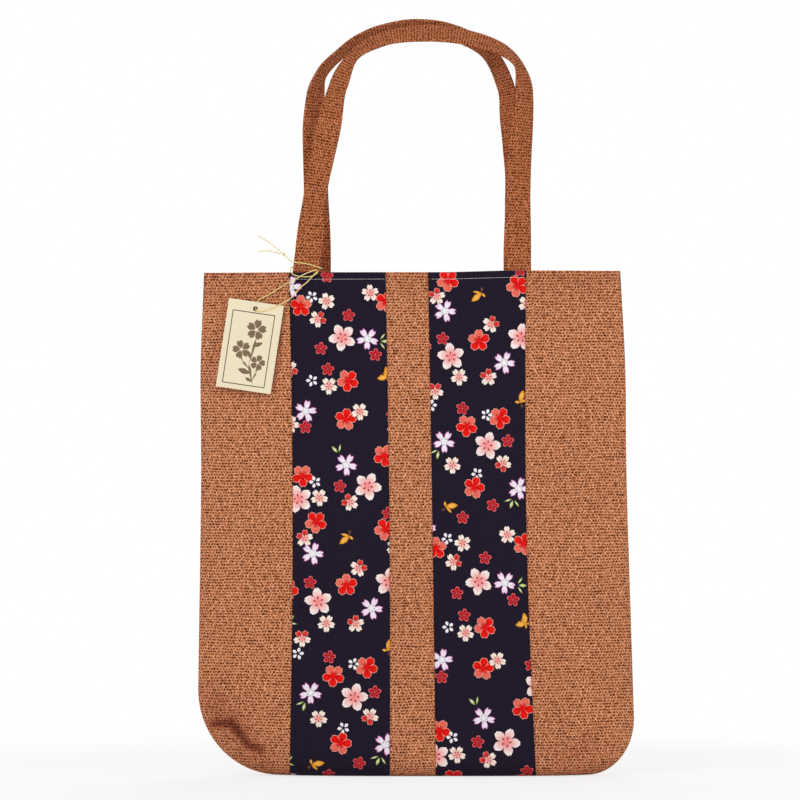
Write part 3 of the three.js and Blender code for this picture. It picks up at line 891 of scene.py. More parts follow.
SECOND_HALF = [
    (small_red_blossom, 73, 1, 20), (coral_blossom, 14, 8.3, 195), (half_red_blossom, 4.8, 21.2, 86),
    (lilac_blossom, 11.5, 33.5, 68), (golden_buds, 41.4, 19.2, 220), (coral_blossom, 70.6, 14, 188),
    (cream_blossom, 78.5, 28.5, 66), (half_red_blossom, 49, 45, 3), (small_red_blossom, 9.5, 56.5, 11),
    (coral_blossom, 39, 58.3, 90), (big_blossom, 73.5, 56, 12), (coral_blossom, -8.6, 62.6, 211),
    (big_blossom, 16.3, 71.5, 26), (lilac_blossom, 59.5, 76.6, 67), (cream_blossom, 22.8, 88.3, 56),
    (half_red_blossom, 46.5, 88.5, 88), (half_red_blossom, 3.3, 99.8, 56),
    (small_white_blossom, 0, 111.5, 4), (golden_buds, 72.2, 109.2, 75), (small_red_blossom, 25.3, 114, 7),
    (coral_blossom, 28.8, 128.2, 48), (small_white_blossom, 45, 119.3, 0),
    (coral_blossom, 55.5, 121.8, 130), (lilac_blossom, 10.3, 141, 56), (big_blossom, 45.4, 144.4, 3),
    (small_red_blossom, 62, 140.6, 14), (leaf_pair, 6.2, 147.3, 257), (cream_blossom, 16.9, 160.2, 56),
    (half_red_blossom, 58, 158.7, 200), (small_white_blossom, 36.9, 167.2, 44),
    (coral_blossom, 34.5, 178.5, 216), (lilac_blossom, 70.6, 179.3, 69), (golden_buds, 11.4, 194, 7),
    (small_red_blossom, 49.4, 193, 1), (green_leaves, 66.3, 187.5, 249), (leaf_pair, -8.8, 88, 48),
    (small_red_blossom, -11, 155, 20), (leaf_pair, -10.5, 193, 40),
]
STRIP_WIDTH = 80

# Each half begins this far below the one before, and is shifted sideways from it. Below the first one the
# print also stretches a little as it goes down. On each strip it runs askew, by so much at the mouth and at
# the base. A motif reaches no further than MOTIF_REACH from its middle.
HALF_COUNT = 4
HALF_DROP = 198.5
HALF_SHIFTS = {"first": -4.5, "second": 7}
HALF_GROWTH = 0.00031
PRINT_ASKEW = {"left": (2, -0.9), "right": (1.9, -2.6)}
MOTIF_REACH = 12


def between_seams(across, z, start, end):
    """Where a place on the strip lies once its seams bow, so that the print itself stays straight."""
    x = mix(straight_seam(start, z), straight_seam(end, z), across / STRIP_WIDTH)
    return STRIP_WIDTH * float((x - seam_at(start, z)) / (seam_at(end, z) - seam_at(start, z)))


def print_regions(hand, seams, first, start):
    """The motifs down one strip, a little askew. first is the half that it starts with, cut at start."""
    halves = [("first", FIRST_HALF), ("second", SECOND_HALF)]
    order = halves if first == "first" else halves[::-1]
    regions = []
    shift = 0
    drop = -start
    for copy in range(HALF_COUNT):
        name, motifs = order[copy % 2]
        shift += HALF_SHIFTS[name] if copy else 0
        growth = HALF_GROWTH if copy else 0
        for motif, across, down, turn in motifs:
            fallen = drop + down * (1 + growth * down)
            askew = mix(*PRINT_ASKEW[hand], fallen / BODY_HEIGHT)
            if -MOTIF_REACH < fallen < CLOTH_RUN + MOTIF_REACH:
                place = between_seams(across + shift + askew, BODY_HEIGHT - fallen, *seams)
                regions += motif((place, -fallen), turn)
        drop += HALF_DROP * (1 + growth * HALF_DROP)
    return regions


def anticlockwise(outline):
    area = sum(a[0] * b[1] - b[0] * a[1] for a, b in zip(outline, outline[1:] + outline[:1]))
    return outline if area > 0 else outline[::-1]


def triangulated(domain, regions, loose, holes=()):
    """Points, triangles and each triangle's region, for a flat piece with regions on it."""
    outlines = [domain] + [outline for outline, _ in regions] + list(holes)
    outlines = [anticlockwise(outline) for outline in outlines]
    points = [point for outline in outlines for point in outline]
    faces = []
    first = 0
    for outline in outlines:
        faces.append(list(range(first, first + len(outline))))
        first += len(outline)
    points += loose
    made = delaunay_2d_cdt([Vector(point) for point in points], [], faces, 0, 1e-4)
    spots, triangles, sources = made[0], made[2], made[5]
    kept = []
    tops = []
    for triangle, source in zip(triangles, sources):
        if 0 in source and max(source) <= len(regions):
            kept.append(tuple(triangle))
            tops.append(max(source) - 1)
    return [tuple(spot) for spot in spots], kept, tops


def printed_sheet(domain, regions, loose, ground, holes=()):
    """A flat sheet's points, the faces of its two sides and rim, and the colour at each face's corners.

    The last region that covers a triangle colours it. The other side and the rim have the ground's colour.
    """
    spots, triangles, tops = triangulated(domain, regions, loose, holes)
    colours = []
    for triangle, top in zip(triangles, tops):
        colour_at = regions[top][1] if top >= 0 else flat_colour(ground)
        colours += [colour_at(*spots[corner]) + (1,) for corner in triangle]
    faces = closed_faces(triangles, len(spots))
    rest = sum(len(face) for face in faces[len(triangles):])
    return np.array(spots), faces, colours + [ground + (1,)] * rest


# The body's cloth. Rows run down the unrolled cloth, closer together at the hem and round the lower edge.

HEM_ROWS = [0, 0.25, 0.6, 1.1, 1.8, 3, 5, 8]
ROW_STEP = 2.8
EDGE_ROWS = 9
BASE_ROWS = 6
SEAM_DIP = 1.15
SEAM_ROLL = 2.4
HEM_DIP = 1.0
HEM_ROLL = 1.8


def rows_down():
    wall = np.arange(HEM_ROWS[-1] + ROW_STEP, WALL_RUN - 1, ROW_STEP)
    edge = np.linspace(WALL_RUN, UNDER_RUN, EDGE_ROWS)
    base = np.linspace(UNDER_RUN, CLOTH_RUN, BASE_ROWS + 1)[1:]
    return np.concatenate([HEM_ROWS, wall, edge, base])


def rolled(distance, reach, dip):
    """How far a cloth's face has rolled away at a distance from its edge."""
    t = 1 - np.clip(distance / reach, 0, 1)
    return dip * (1 - np.sqrt(1 - t * t))


def strip_faces(facing, span, share, down):
    """The outer and inner faces of a strip, for points of its flat cloth."""
    z, inwards = fall(down, 0)
    start, end = span(z, 0)
    x = mix(start, end, share)
    from_seam = np.minimum(share, 1 - share) * (end - start)
    dip = rolled(from_seam, SEAM_ROLL, SEAM_DIP) + rolled(down, HEM_ROLL, HEM_DIP)
    outer = body_point(facing, x, z, inwards, 0, dip)
    z, inwards = fall(down, OUTER_CLOTH)
    start, end = span(z, OUTER_CLOTH)
    inner = body_point(facing, mix(start, end, share), z, inwards, OUTER_CLOTH)
    return outer, inner


def along_rows(points, rows, columns, from_end):
    """How far across the cloth each point lies, measured along its row from one end."""
    grid = points.reshape(rows, columns, 3)
    steps = np.linalg.norm(np.diff(grid, axis=1), axis=2)
    distance = np.concatenate([np.zeros((rows, 1)), np.cumsum(steps, axis=1)], axis=1)
    if from_end:
        distance = distance - distance[:, -1:]
    return distance


def sheet_of_cloth(node, facing, grid, points, uv, material, shade=None):
    """A piece of the bag's cloth, from its two faces' points, each in the same rows and columns."""
    faces = grid_faces(*grid)
    if facing > 0:
        faces = reversed_faces(faces)
    faces = closed_faces(faces, len(uv))
    piece = make_object(f"{node}_cloth", points, faces, material, np.tile(uv, (2, 1)), shade=shade)
    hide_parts(node)
    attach(piece, "bag")


def columns_across(start, end):
    """Where a canvas strip's columns lie. They crowd towards its seams and towards the bag's side."""
    if start and end:
        return np.concatenate([[0, 0.01, 0.03, 0.065], np.linspace(0.12, 0.88, 11), [0.935, 0.97, 0.99, 1]])
    edge = [0, 0.004, 0.012, 0.024]
    turn = np.linspace(0, math.pi / 2, 34)[1:]
    shares = np.concatenate([edge, edge[-1] + (1 - edge[-1]) * np.sin(turn)])
    return shares if start else 1 - shares[::-1]


def canvas_strip(side, facing, name, start, end):
    """A strip of canvas between two seams, or between a seam and the bag's side."""
    down = rows_down()
    share = columns_across(start, end)
    shares, downs = np.meshgrid(share, down)
    outer, inner = strip_faces(facing, strip_span(start, end), shares.ravel(), downs.ravel())
    across = along_rows(outer, len(down), len(share), from_end=not start)
    seam = SEAMS[start or end][0]
    uv = np.stack([seam + across.ravel(), downs.ravel()], axis=-1)
    points = np.concatenate([outer, inner])
    shade = crease_shade(points[:, 0], points[:, 2], facing)
    grid = (len(down), len(share))
    sheet_of_cloth(f"{side}_{name}", facing, grid, points, uv, CANVAS, shade)


# A printed strip's columns crowd towards its seams
SEAM_COLUMNS = [0, 0.25, 0.6, 1.1, 1.7, 2.4]
MIDDLE_COLUMNS = list(np.linspace(6, STRIP_WIDTH - 6, 15))


def printed_strip(side, facing, hand, start, end, first, cut):
    """A strip of printed cloth, whose faces follow the outlines of its blossoms."""
    domain = [(0, 0), (0, -CLOTH_RUN), (STRIP_WIDTH, -CLOTH_RUN), (STRIP_WIDTH, 0)]
    regions = print_regions(hand, (start, end), first, cut)
    columns = SEAM_COLUMNS + MIDDLE_COLUMNS + [STRIP_WIDTH - column for column in reversed(SEAM_COLUMNS)]
    loose = [(across, -down) for down in rows_down() for across in columns]
    flat, faces, colours = printed_sheet(domain, regions, loose, PRINT_GROUND)
    share = flat[:, 0] / STRIP_WIDTH
    if facing > 0:
        share = 1 - share
    outer, inner = strip_faces(facing, strip_span(start, end), share, -flat[:, 1])
    uv = np.tile(np.stack([flat[:, 0], -flat[:, 1]], axis=-1), (2, 1))
    node = f"{side}_{hand}_floral_strip"
    points = np.concatenate([outer, inner])
    piece = make_object(f"{node}_cloth", points, faces, PRINTED, uv, colours)
    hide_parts(node)
    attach(piece, "bag")


def whole_span(z, inset):
    return -side_reach("left", z, inset), side_reach("right", z, inset)


WHOLE_SHARES = (1 - np.cos(np.linspace(0, math.pi, 71))) / 2
LINING_FIRST_STEP = 1.5


def lining(side, facing):
    """The lining hangs from the facing, and lies against the outer cloth from a little way down."""
    top = FACING_DEPTH + SEAM_GAP
    down = np.concatenate([[top], rows_down()[rows_down() > top + LINING_FIRST_STEP]])
    shares, downs = np.meshgrid(WHOLE_SHARES, down)
    share, down_at = shares.ravel(), downs.ravel()

    def face(start):
        z, inwards = fall(down_at, start)
        inset = start + (FACING_INSET - LINING_INSET) * smooth(1 - (down_at - top) / LINING_RAMP)
        left, right = whole_span(z, inset)
        return body_point(facing, mix(left, right, share), z, inwards, inset)

    points = np.concatenate([face(LINING_INSET), face(LINING_INSET + LINING_CLOTH)])
    uv = np.stack([share * 2 * WIDEST_REACH, down_at], axis=-1)
    sheet_of_cloth(f"{side}_lining", facing, shares.shape, points, uv, LINING)


# Beside a strap's sewn end and near the hem, the facing comes up to the outer cloth
MET_GAP = 0.15
MET_BESIDE = (1, 9)
MET_DOWN = 16
FACING_HEM_DIP = 0.6
FACING_ROW_STEP = 3.6


def facing_inset(x, z, handle):
    """The facing meets the outer cloth along the hem, except where a strap end lies between them."""
    nearest = np.minimum(
        np.abs(x - (handle["centre"] - handle["half_spread"])),
        np.abs(x - (handle["centre"] + handle["half_spread"])),
    )
    beside_strap = smooth((nearest - STRAP_WIDTH / 2 - MET_BESIDE[0]) / MET_BESIDE[1])
    near_hem = smooth(1 - (BODY_HEIGHT - z) / MET_DOWN)
    return mix(FACING_INSET, OUTER_CLOTH + MET_GAP, beside_strap * near_hem)


def facing_band(side, facing, handle):
    """The facing of canvas inside the mouth, with its upper edge turned in to the hem."""
    below_hem = np.arange(HEM_ROWS[-1] + FACING_ROW_STEP, FACING_DEPTH - 1, FACING_ROW_STEP)
    down = np.concatenate([HEM_ROWS, below_hem, [FACING_DEPTH]])
    shares, downs = np.meshgrid(WHOLE_SHARES, down)
    share, down_at = shares.ravel(), downs.ravel()
    z = BODY_HEIGHT - down_at

    def face(depth):
        left, right = whole_span(z, FACING_INSET + depth)
        x = mix(left, right, share)
        inset = facing_inset(x, z, handle) + depth
        hem = rolled(down_at, HEM_ROLL, FACING_HEM_DIP) if depth else 0
        return body_point(facing, x, z, 0, inset - hem)

    points = np.concatenate([face(0), face(LINING_CLOTH)])
    uv = np.stack([share * 2 * WIDEST_REACH, down_at], axis=-1)
    sheet_of_cloth(f"{side}_facing", facing, shares.shape, points, uv, CANVAS)


# Handles

def line_through(points, count):
    """Points on a smooth line, evenly shared out between the given points."""
    given = [np.array(point, float) for point in points]
    given = [2 * given[0] - given[1]] + given + [2 * given[-1] - given[-2]]
    stretches = len(points) - 1
    made = []
    for step in range(count + 1):
        spot = step / count * stretches
        at = min(stretches - 1, int(spot))
        made.append(catmull_rom(given[at:at + 4], spot - at))
    return np.array(made)


def catmull_rom(four, t):
    """A point between the second and third of four points, on the centripetal line through them."""
    gaps = [max(1e-4, np.linalg.norm(b - a) ** 0.5) for a, b in zip(four, four[1:])]
    p0, p1, p2, p3 = four
    start = ((p1 - p0) / gaps[0] - (p2 - p0) / (gaps[0] + gaps[1]) + (p2 - p1) / gaps[1]) * gaps[1]
    end = ((p2 - p1) / gaps[1] - (p3 - p1) / (gaps[1] + gaps[2]) + (p3 - p2) / gaps[2]) * gaps[1]
    curve = (2 * t**3 - 3 * t**2 + 1) * p1 + (t**3 - 2 * t**2 + t) * start
    return curve + (3 * t**2 - 2 * t**3) * p2 + (t**3 - t**2) * end


def foot(handle, end):
    """Where a strap goes into the hem, and its turn there. end is -1 at the left foot and 1 at the right."""
    x = handle["centre"] + end * handle["half_spread"]
    slope = (face_reach(x + 1, BODY_HEIGHT, 0) - face_reach(x - 1, BODY_HEIGHT, 0)) / 2
    return x, math.degrees(math.atan(abs(slope)))


def foot_point(handle, end, z):
    x = foot(handle, end)[0]
    above = max(0, z - BODY_HEIGHT) / FOLD_HEIGHT
    lean = handle["left_lean"] * above if end < 0 else 0
    reach = face_reach(x, min(z, BODY_HEIGHT), STRAP_INSET)
    return np.array([x + lean, handle["facing"] * reach, z])


# The strap's section: a flat fold of canvas with round edges, a little fuller at its middle
SECTION_STEPS = 28
SECTION_ROUNDNESS = 5


def strap_section():
    turns = [2 * math.pi * step / SECTION_STEPS for step in range(SECTION_STEPS)]
    power = 2 / SECTION_ROUNDNESS
    across = [math.copysign(abs(math.cos(turn)) ** power, math.cos(turn)) for turn in turns]
    through = [math.copysign(abs(math.sin(turn)) ** 0.75, math.sin(turn)) for turn in turns]
    return list(zip(across, through))


def strap_ring(handle, centre, along, turn, thickness, width=STRAP_WIDTH):
    outward = unit(np.array([-along[2], 0, along[0]]))
    inward = np.array([0, -handle["facing"], 0])
    angle = math.radians(turn)
    edge = outward * math.cos(angle) + inward * math.sin(angle)
    normal = unit(np.cross(along, edge))
    return [centre + edge * across * width / 2 + normal * through * thickness / 2
            for across, through in strap_section()]


def handle_places(handle):
    """The strap's line from one sewn end to the other: points, turns and thicknesses."""
    base = BODY_HEIGHT + FOLD_HEIGHT + SEAM_GAP / 2
    places = [(foot_point(handle, -1, base), foot(handle, -1)[1])]
    foot_reach = abs(places[0][0][1])
    for across, up, turn in handle["stations"]:
        angle = math.radians(turn)
        depth = STRAP_WIDTH * math.sin(angle) + STRAP_THICKNESS * math.cos(angle)
        reach = mix(foot_reach, (HANDLES_APART + depth) / 2, smooth(up / LEANING_FROM))
        x = handle["centre"] + across * handle["half_spread"]
        places.append((np.array([x, handle["facing"] * reach, BODY_HEIGHT + up * handle["rise"]]), turn))
    places.append((foot_point(handle, 1, base), foot(handle, 1)[1]))
    return places


HANDLE_STEPS = 168
END_LEVELS = [-STRAP_END_DEPTH, -20, -14, -9, -5, -2.5, -1, 0.5, 2, 4, 6, 8.5, 11, 13.5]
STRAP_WAVE = 0.35
CALM_STEPS = 12


def handle_rings(handle):
    places = handle_places(handle)
    line = line_through([point for point, _ in places], HANDLE_STEPS)
    ends = {}
    for end in (-1, 1):
        rings = []
        for level in END_LEVELS:
            taper = smooth((level - STRAP_TAPER[0]) / (STRAP_TAPER[1] - STRAP_TAPER[0]))
            thickness = mix(STRAP_END_THICKNESS, STRAP_THICKNESS, float(taper))
            along = np.array([0, 0, -end])
            centre = foot_point(handle, end, BODY_HEIGHT + level)
            rings.append(strap_ring(handle, centre, along, foot(handle, end)[1], thickness))
        ends[end] = rings
    rings = list(ends[-1])
    for step in range(HANDLE_STEPS + 1):
        spot = step / HANDLE_STEPS * (len(places) - 1)
        before = min(len(places) - 2, int(spot))
        turn = mix(places[before][1], places[before + 1][1], float(smooth(spot - before)))
        ahead = line[min(step + 1, HANDLE_STEPS)]
        behind = line[max(step - 1, 0)]
        along = unit(ahead - behind)
        if step in (0, HANDLE_STEPS):
            along = np.array([0, 0, 1 if step == 0 else -1])
        calm = min(1, step / CALM_STEPS, (HANDLE_STEPS - step) / CALM_STEPS)
        width = STRAP_WIDTH + calm * STRAP_WAVE * (math.sin(step / 3.1) + math.sin(step / 7.7 + 1))
        rings.append(strap_ring(handle, line[step], along, turn, STRAP_THICKNESS, width))
    return rings + ends[1][::-1]


def tube_faces(rings, sides):
    """The faces of a closed tube through rings of points, with a cap at each end."""
    faces = []
    for ring in range(rings - 1):
        for side in range(sides):
            a = ring * sides + side
            b = ring * sides + (side + 1) % sides
            faces.append((a, b, b + sides, a + sides))
    last = (rings - 1) * sides
    caps = [tuple(range(sides))[::-1], tuple(range(last, last + sides))]
    return faces + caps


def outward_faces(points, faces):
    """The faces as given, or all of them reversed where they face in."""
    corners = np.asarray(points)
    volume = 0
    for face in faces:
        a = corners[face[0]]
        for second, third in zip(face[1:], face[2:]):
            volume += np.dot(a, np.cross(corners[second], corners[third]))
    return faces if volume > 0 else reversed_faces(faces)


def ring_uv(rings):
    """How far along and round a tube each point lies, in millimetres."""
    grid = np.array(rings)
    round_steps = np.linalg.norm(np.diff(grid, axis=1), axis=2)
    around = np.concatenate([np.zeros((len(grid), 1)), np.cumsum(round_steps, axis=1)], axis=1)
    middles = grid.mean(axis=1)
    along = np.concatenate([[0], np.cumsum(np.linalg.norm(np.diff(middles, axis=0), axis=1))])
    along = np.repeat(along[:, None], grid.shape[1], axis=1)
    return np.stack([around, along], axis=-1).reshape(-1, 2)


def strap(handle):
    """One handle, with its two sewn ends."""
    rings = handle_rings(handle)
    points = np.array(rings).reshape(-1, 3)
    faces = outward_faces(points, tube_faces(len(rings), SECTION_STEPS))
    name = handle["name"]
    piece = make_object(f"{name}_strap", points, faces, SHADED_STRAP_CANVAS, ring_uv(rings))
    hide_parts(name, f"{name}_left_end", f"{name}_right_end")
    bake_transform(piece)


# Thread

THREAD_SIDES = 10
THREAD_TWIST = 2.4
WRAP_STEPS = 150
TAIL_STEPS = 40
STRAND_STEPS = 90


def thread_along(name, line, body, node):
    """A two-ply thread along points: its section is a little waisted, and turns as it goes."""
    line = np.asarray(line)
    rings = []
    edge = np.array([0.0, 1.0, 0.2])
    run = 0
    for step, centre in enumerate(line):
        along = unit(line[min(step + 1, len(line) - 1)] - line[max(step - 1, 0)])
        edge = unit(edge - along * np.dot(edge, along))
        other = np.cross(along, edge)
        if step:
            run += np.linalg.norm(centre - line[step - 1])
        ring = []
        for side in range(THREAD_SIDES):
            angle = 2 * math.pi * side / THREAD_SIDES
            radius = THREAD_DIAMETER / 2 * (0.95 + 0.08 * math.cos(2 * (angle - run * THREAD_TWIST)))
            ring.append(centre + radius * (edge * math.cos(angle) + other * math.sin(angle)))
        rings.append(ring)
    points = np.array(rings).reshape(-1, 3)
    faces = outward_faces(points, tube_faces(len(rings), THREAD_SIDES))
    piece = make_object(name, points, faces, GOLD, ring_uv(rings))
    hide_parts(node)
    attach(piece, body)
    return piece


def joint_named(name):
    return [joint for joint in frame["record"]["behaviour"]["joints"] if joint["name"] == name][0]


def tag_tip():
    return np.array(joint_named("tag_string_swing")["pos_m"]) / MM


def thread_reach(across, up, place):
    """How far in front of the bag's middle plane a thread runs beside the front handle's left foot."""
    x, turn = foot(FRONT_HANDLE, -1)
    strap_middle = face_reach(x, BODY_HEIGHT, STRAP_INSET) + across * math.tan(math.radians(turn))
    off = THREAD_DIAMETER / 2 + THREAD_GAP
    if place == "edge":
        return strap_middle
    if place == "behind":
        return strap_middle - STRAP_THICKNESS / 2 - off
    if place == "tip":
        return -tag_tip()[1] - THREAD_DIAMETER - THREAD_GAP
    panel = face_reach(x + across, min(BODY_HEIGHT, BODY_HEIGHT + up), 0) + off
    return panel if place == "panel" else max(panel, strap_middle + STRAP_THICKNESS / 2 + off)


def wrap_line():
    x = foot(FRONT_HANDLE, -1)[0]
    return [
        (x + across, -thread_reach(across, up, place), BODY_HEIGHT + up) for across, up, place in WRAP_POINTS
    ]


KNOT_SIZE = 0.55
KNOT_FLATNESS = 0.62


def knot_line(middle):
    """A small overhand knot, as a trefoil."""
    turns = np.linspace(0, 2 * math.pi, 61)[:-1]
    x = np.sin(turns) + 2 * np.sin(2 * turns)
    z = np.cos(turns) - 2 * np.cos(2 * turns)
    y = -np.sin(3 * turns)
    knot = np.stack([x * KNOT_FLATNESS, y, z * KNOT_FLATNESS], axis=-1)
    return np.array(middle) + KNOT_SIZE * knot


def thread_on_handle():
    """The thread's wrap round the front handle's left foot, its knot and the two cut tails."""
    places = wrap_line()
    knot_place = np.array(places[0])
    wrap = line_through(places[1:], WRAP_STEPS)
    wrap_piece = thread_along("gold_thread_wrap", wrap, "bag", "thread_wrap")
    extras = [thread_along("gold_thread_knot", knot_line(knot_place), "bag", "thread_knot")]
    for name, points in (("long", LONG_TAIL_POINTS), ("short", SHORT_TAIL_POINTS)):
        start = [knot_place + np.array([across, -TAIL_FORWARD * up, up]) for across, up in points]
        tail = line_through(start, TAIL_STEPS)
        extras.append(thread_along(f"gold_thread_{name}_tail", tail, "bag", f"thread_{name}_tail"))


def tag_axes():
    """The hanging tag's plane: across, out of it and up, as unit directions."""
    out = np.array(joint_named("tag_string_swing")["axis"], float)
    across = unit(np.array([-out[1], out[0], 0]))
    return across, out, np.cross(out, across)


def strand(name, points, node):
    across, out, up = tag_axes()
    tip = tag_tip()
    places = [tip + a * across - behind * out + b * up for a, b, behind in points]
    line = line_through(places, STRAND_STEPS)
    piece = thread_along(name, line, "tag_string", node)


# The hang tag's card, with a ruled border and a small blossom spray printed on it

CARD_GROUND = linear(243, 230, 198)
CARD_INK = linear(126, 106, 80)
BORDER_INK = linear(74, 74, 56)
BORDER_MARGINS = {"left": 4.6, "right": 5.8, "top": 8.7, "bottom": 4}
BORDER_LINE = 0.75
HOLE_EDGE = linear(96, 88, 70)
HOLE_RIM_RADIUS = 2.1
HALF_CARD = TAG["width"] / 2
CARD_TOP = TAG["hole_from_top"]
CARD_BOTTOM = CARD_TOP - TAG["height"]

# How far the card curls forward at its lower end and at its two sides
CARD_CURL = {"up": 0.25, "across": 0.08}

# The spray's stems bend once. Its blossoms have a size and a turn, and its leaves a length and a turn.
SPRAY_STEMS = [
    ((7, -62), (1.5, -46), (4.5, -24), 2.4), ((3, -50), (-4, -44), (-6.5, -40), 1.8),
    ((6, -59), (8.5, -52), (8.5, -49), 1.6),
]
SPRAY_BLOSSOMS = [((3.5, -17), 8.6, 12), ((-6.5, -34.5), 7.8, 40), ((8.6, -43.5), 6.6, 5)]
SPRAY_LEAVES = [
    ((2.5, -31), 9, 28), ((3.6, -53), 11, 168), ((6.3, -59.5), 6.8, 158), ((1.8, -41), 6.5, 110),
]
STEM_OVERLAP = 0.6


def rectangle(left, bottom, right, top):
    return [(left, bottom), (right, bottom), (right, top), (left, top)]


def card_regions():
    ink = flat_colour(CARD_INK)
    left, bottom = -HALF_CARD + BORDER_MARGINS["left"], CARD_BOTTOM + BORDER_MARGINS["bottom"]
    right, top = HALF_CARD - BORDER_MARGINS["right"], CARD_TOP - BORDER_MARGINS["top"]
    inside = rectangle(left + BORDER_LINE, bottom + BORDER_LINE, right - BORDER_LINE, top - BORDER_LINE)
    regions = [(rectangle(left, bottom, right, top), flat_colour(BORDER_INK))]
    regions.append((inside, flat_colour(CARD_GROUND)))
    regions += hearts((0, 0), [HOLE_RIM_RADIUS], flat_colour(HOLE_EDGE))
    for start, bend, end, width in SPRAY_STEMS:
        for first, last in ((start, bend), (bend, end)):
            turn = math.degrees(math.atan2(last[1] - first[1], last[0] - first[0]))
            stem = stroke(-STEM_OVERLAP, math.dist(first, last) + STEM_OVERLAP, width)
            regions.append((placed(stem, first, turn), ink))
    for middle, size, turn in SPRAY_BLOSSOMS:
        regions += petals(petal(size, 0.36, 0.14, 0.17, start=0.16), middle, turn, ink)
    for middle, length, turn in SPRAY_LEAVES:
        regions.append((placed(leaf_shape(length, 0.42 * length), middle, turn), ink))
    return regions


def hang_tag():
    domain = rectangle(-HALF_CARD, CARD_BOTTOM, HALF_CARD, CARD_TOP)
    rows = np.linspace(CARD_BOTTOM, CARD_TOP, 17)
    loose = [(x, y) for x in np.linspace(-HALF_CARD, HALF_CARD, 11) for y in rows]
    holes = [circle(TAG["hole_radius"], 24)]
    flat, faces, colours = printed_sheet(domain, card_regions(), loose, CARD_GROUND, holes)
    across, out, up = tag_axes()
    lean = math.radians(TAG["lean"])
    wide = across * math.cos(lean) - up * math.sin(lean)
    high = across * math.sin(lean) + up * math.cos(lean)
    middle = np.array(joint_named("hang_tag_turn")["pos_m"]) / MM
    curl = CARD_CURL["up"] * (flat[:, 1] / TAG["height"]) ** 2
    curl = curl + CARD_CURL["across"] * (flat[:, 0] / HALF_CARD) ** 2
    face = middle + flat[:, :1] * wide + flat[:, 1:] * high + (curl + TAG["thickness"] / 2)[:, None] * out
    points = np.concatenate([face, face - TAG["thickness"] * out])
    piece = make_object("hang_tag_card", points, faces, CARD, np.tile(flat, (2, 1)), colours)
    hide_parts("hang_tag")
    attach(piece, "hang_tag")


# Stitching along the mouth's hem

STITCH_DOWN = 5.7
STITCH_PITCH = 2.9
STITCH_LENGTH = 2.7
STITCH_HALF_WIDTH = 0.12
STITCH_RISE = 0.16
STITCH_SINK = 0.12
STITCH_SHARES = (0, 0.12, 0.3, 0.7, 0.88, 1)
STITCH_SIDES = 8
STITCH_MARGIN = 6


def stitch_rings(facing, x, z):
    """One stitch, thinner towards its ends, where it goes down into the cloth."""
    rings = []
    for share in STITCH_SHARES:
        spot = body_point(facing, np.array([x + share * STITCH_LENGTH]), np.array([z]), 0, 0)[0]
        swell = math.sin(math.pi * mix(0.08, 0.92, share)) ** 0.5
        middle = spot + np.array([0, facing * (STITCH_RISE * swell - STITCH_SINK), 0])
        rings.append([
            middle + STITCH_HALF_WIDTH * swell * np.array([0, facing * math.cos(a), math.sin(a)])
            for a in np.linspace(0, 2 * math.pi, STITCH_SIDES + 1)[:-1]
        ])
    return rings


def stitch_rows(side, facing):
    """One stitch after another along the hem: pale on the printed strips, brown on the canvas."""
    made = {"pale": [], "brown": []}
    z = BODY_HEIGHT - STITCH_DOWN
    start, end = STITCH_MARGIN - MOUTH_REACH["left"], MOUTH_REACH["right"] - STITCH_MARGIN
    for x in np.arange(start, end, STITCH_PITCH):
        on_left = seam_at("outer_left", z) < x < seam_at("inner_left", z) - STITCH_LENGTH
        on_right = seam_at("inner_right", z) < x < seam_at("outer_right", z) - STITCH_LENGTH
        made["pale" if on_left or on_right else "brown"].append(x)
    for kind, material in (("pale", PALE_STITCH), ("brown", BROWN_STITCH)):
        points, faces, uv = [], [], []
        for x in made[kind]:
            first = len(points)
            rings = stitch_rings(facing, x, z)
            ring_points = np.array(rings).reshape(-1, 3)
            ring_faces = outward_faces(ring_points, tube_faces(len(rings), STITCH_SIDES))
            points.extend(ring_points)
            uv.extend(ring_uv(rings) + first)
            faces.extend(tuple(first + corner for corner in face) for face in ring_faces)
        name = f"{side}_{kind}_hem_stitches"
        piece = make_object(name, points, faces, material, np.array(uv))
        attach(piece, "bag")


# The camera, the lights and the white room

def add_camera():
    data = bpy.data.cameras.new("camera")
    data.sensor_width = SENSOR_WIDTH
    data.lens = SENSOR_WIDTH * CAMERA_DISTANCE / PICTURE_WIDTH
    data.clip_end = 100
    camera = bpy.data.objects.new("camera", data)
    camera.location = (PICTURE_MIDDLE[0] * MM, -CAMERA_DISTANCE * MM, PICTURE_MIDDLE[1] * MM)
    camera.rotation_euler = (math.pi / 2, 0, 0)
    bpy.context.scene.collection.objects.link(camera)
    bpy.context.scene.camera = camera


# Each lamp has a place and a size, in metres, and a power in watts. All point at the same place in the bag.
LAMP_AIM = (0, 0, 0.28)
LAMPS = [
    ("key", (-1.1, -1.9, 1.7), 1.5, 22),
    ("fill", (1.6, -1.6, 0.9), 1.6, 10),
    ("back", (0.4, 2.0, 1.8), 1.6, 20),
]


def add_lamp(name, place, size, power):
    data = bpy.data.lights.new(name, "AREA")
    data.shape = "DISK"
    data.size = size
    data.energy = power
    lamp = bpy.data.objects.new(name, data)
    lamp.location = place
    lamp.rotation_euler = (Vector(LAMP_AIM) - Vector(place)).to_track_quat("-Z", "Y").to_euler()
    bpy.context.scene.collection.objects.link(lamp)


# The floor is in metres. Its shadow fades out between two distances from the bag's middle.
FLOOR_HALF = 12
FLOOR_DROP = 0.0005
SHADOW_REACH = (0.3, 0.75)
SHADOW_WHITE = 0.75
FLOOR_GREY = 0.88


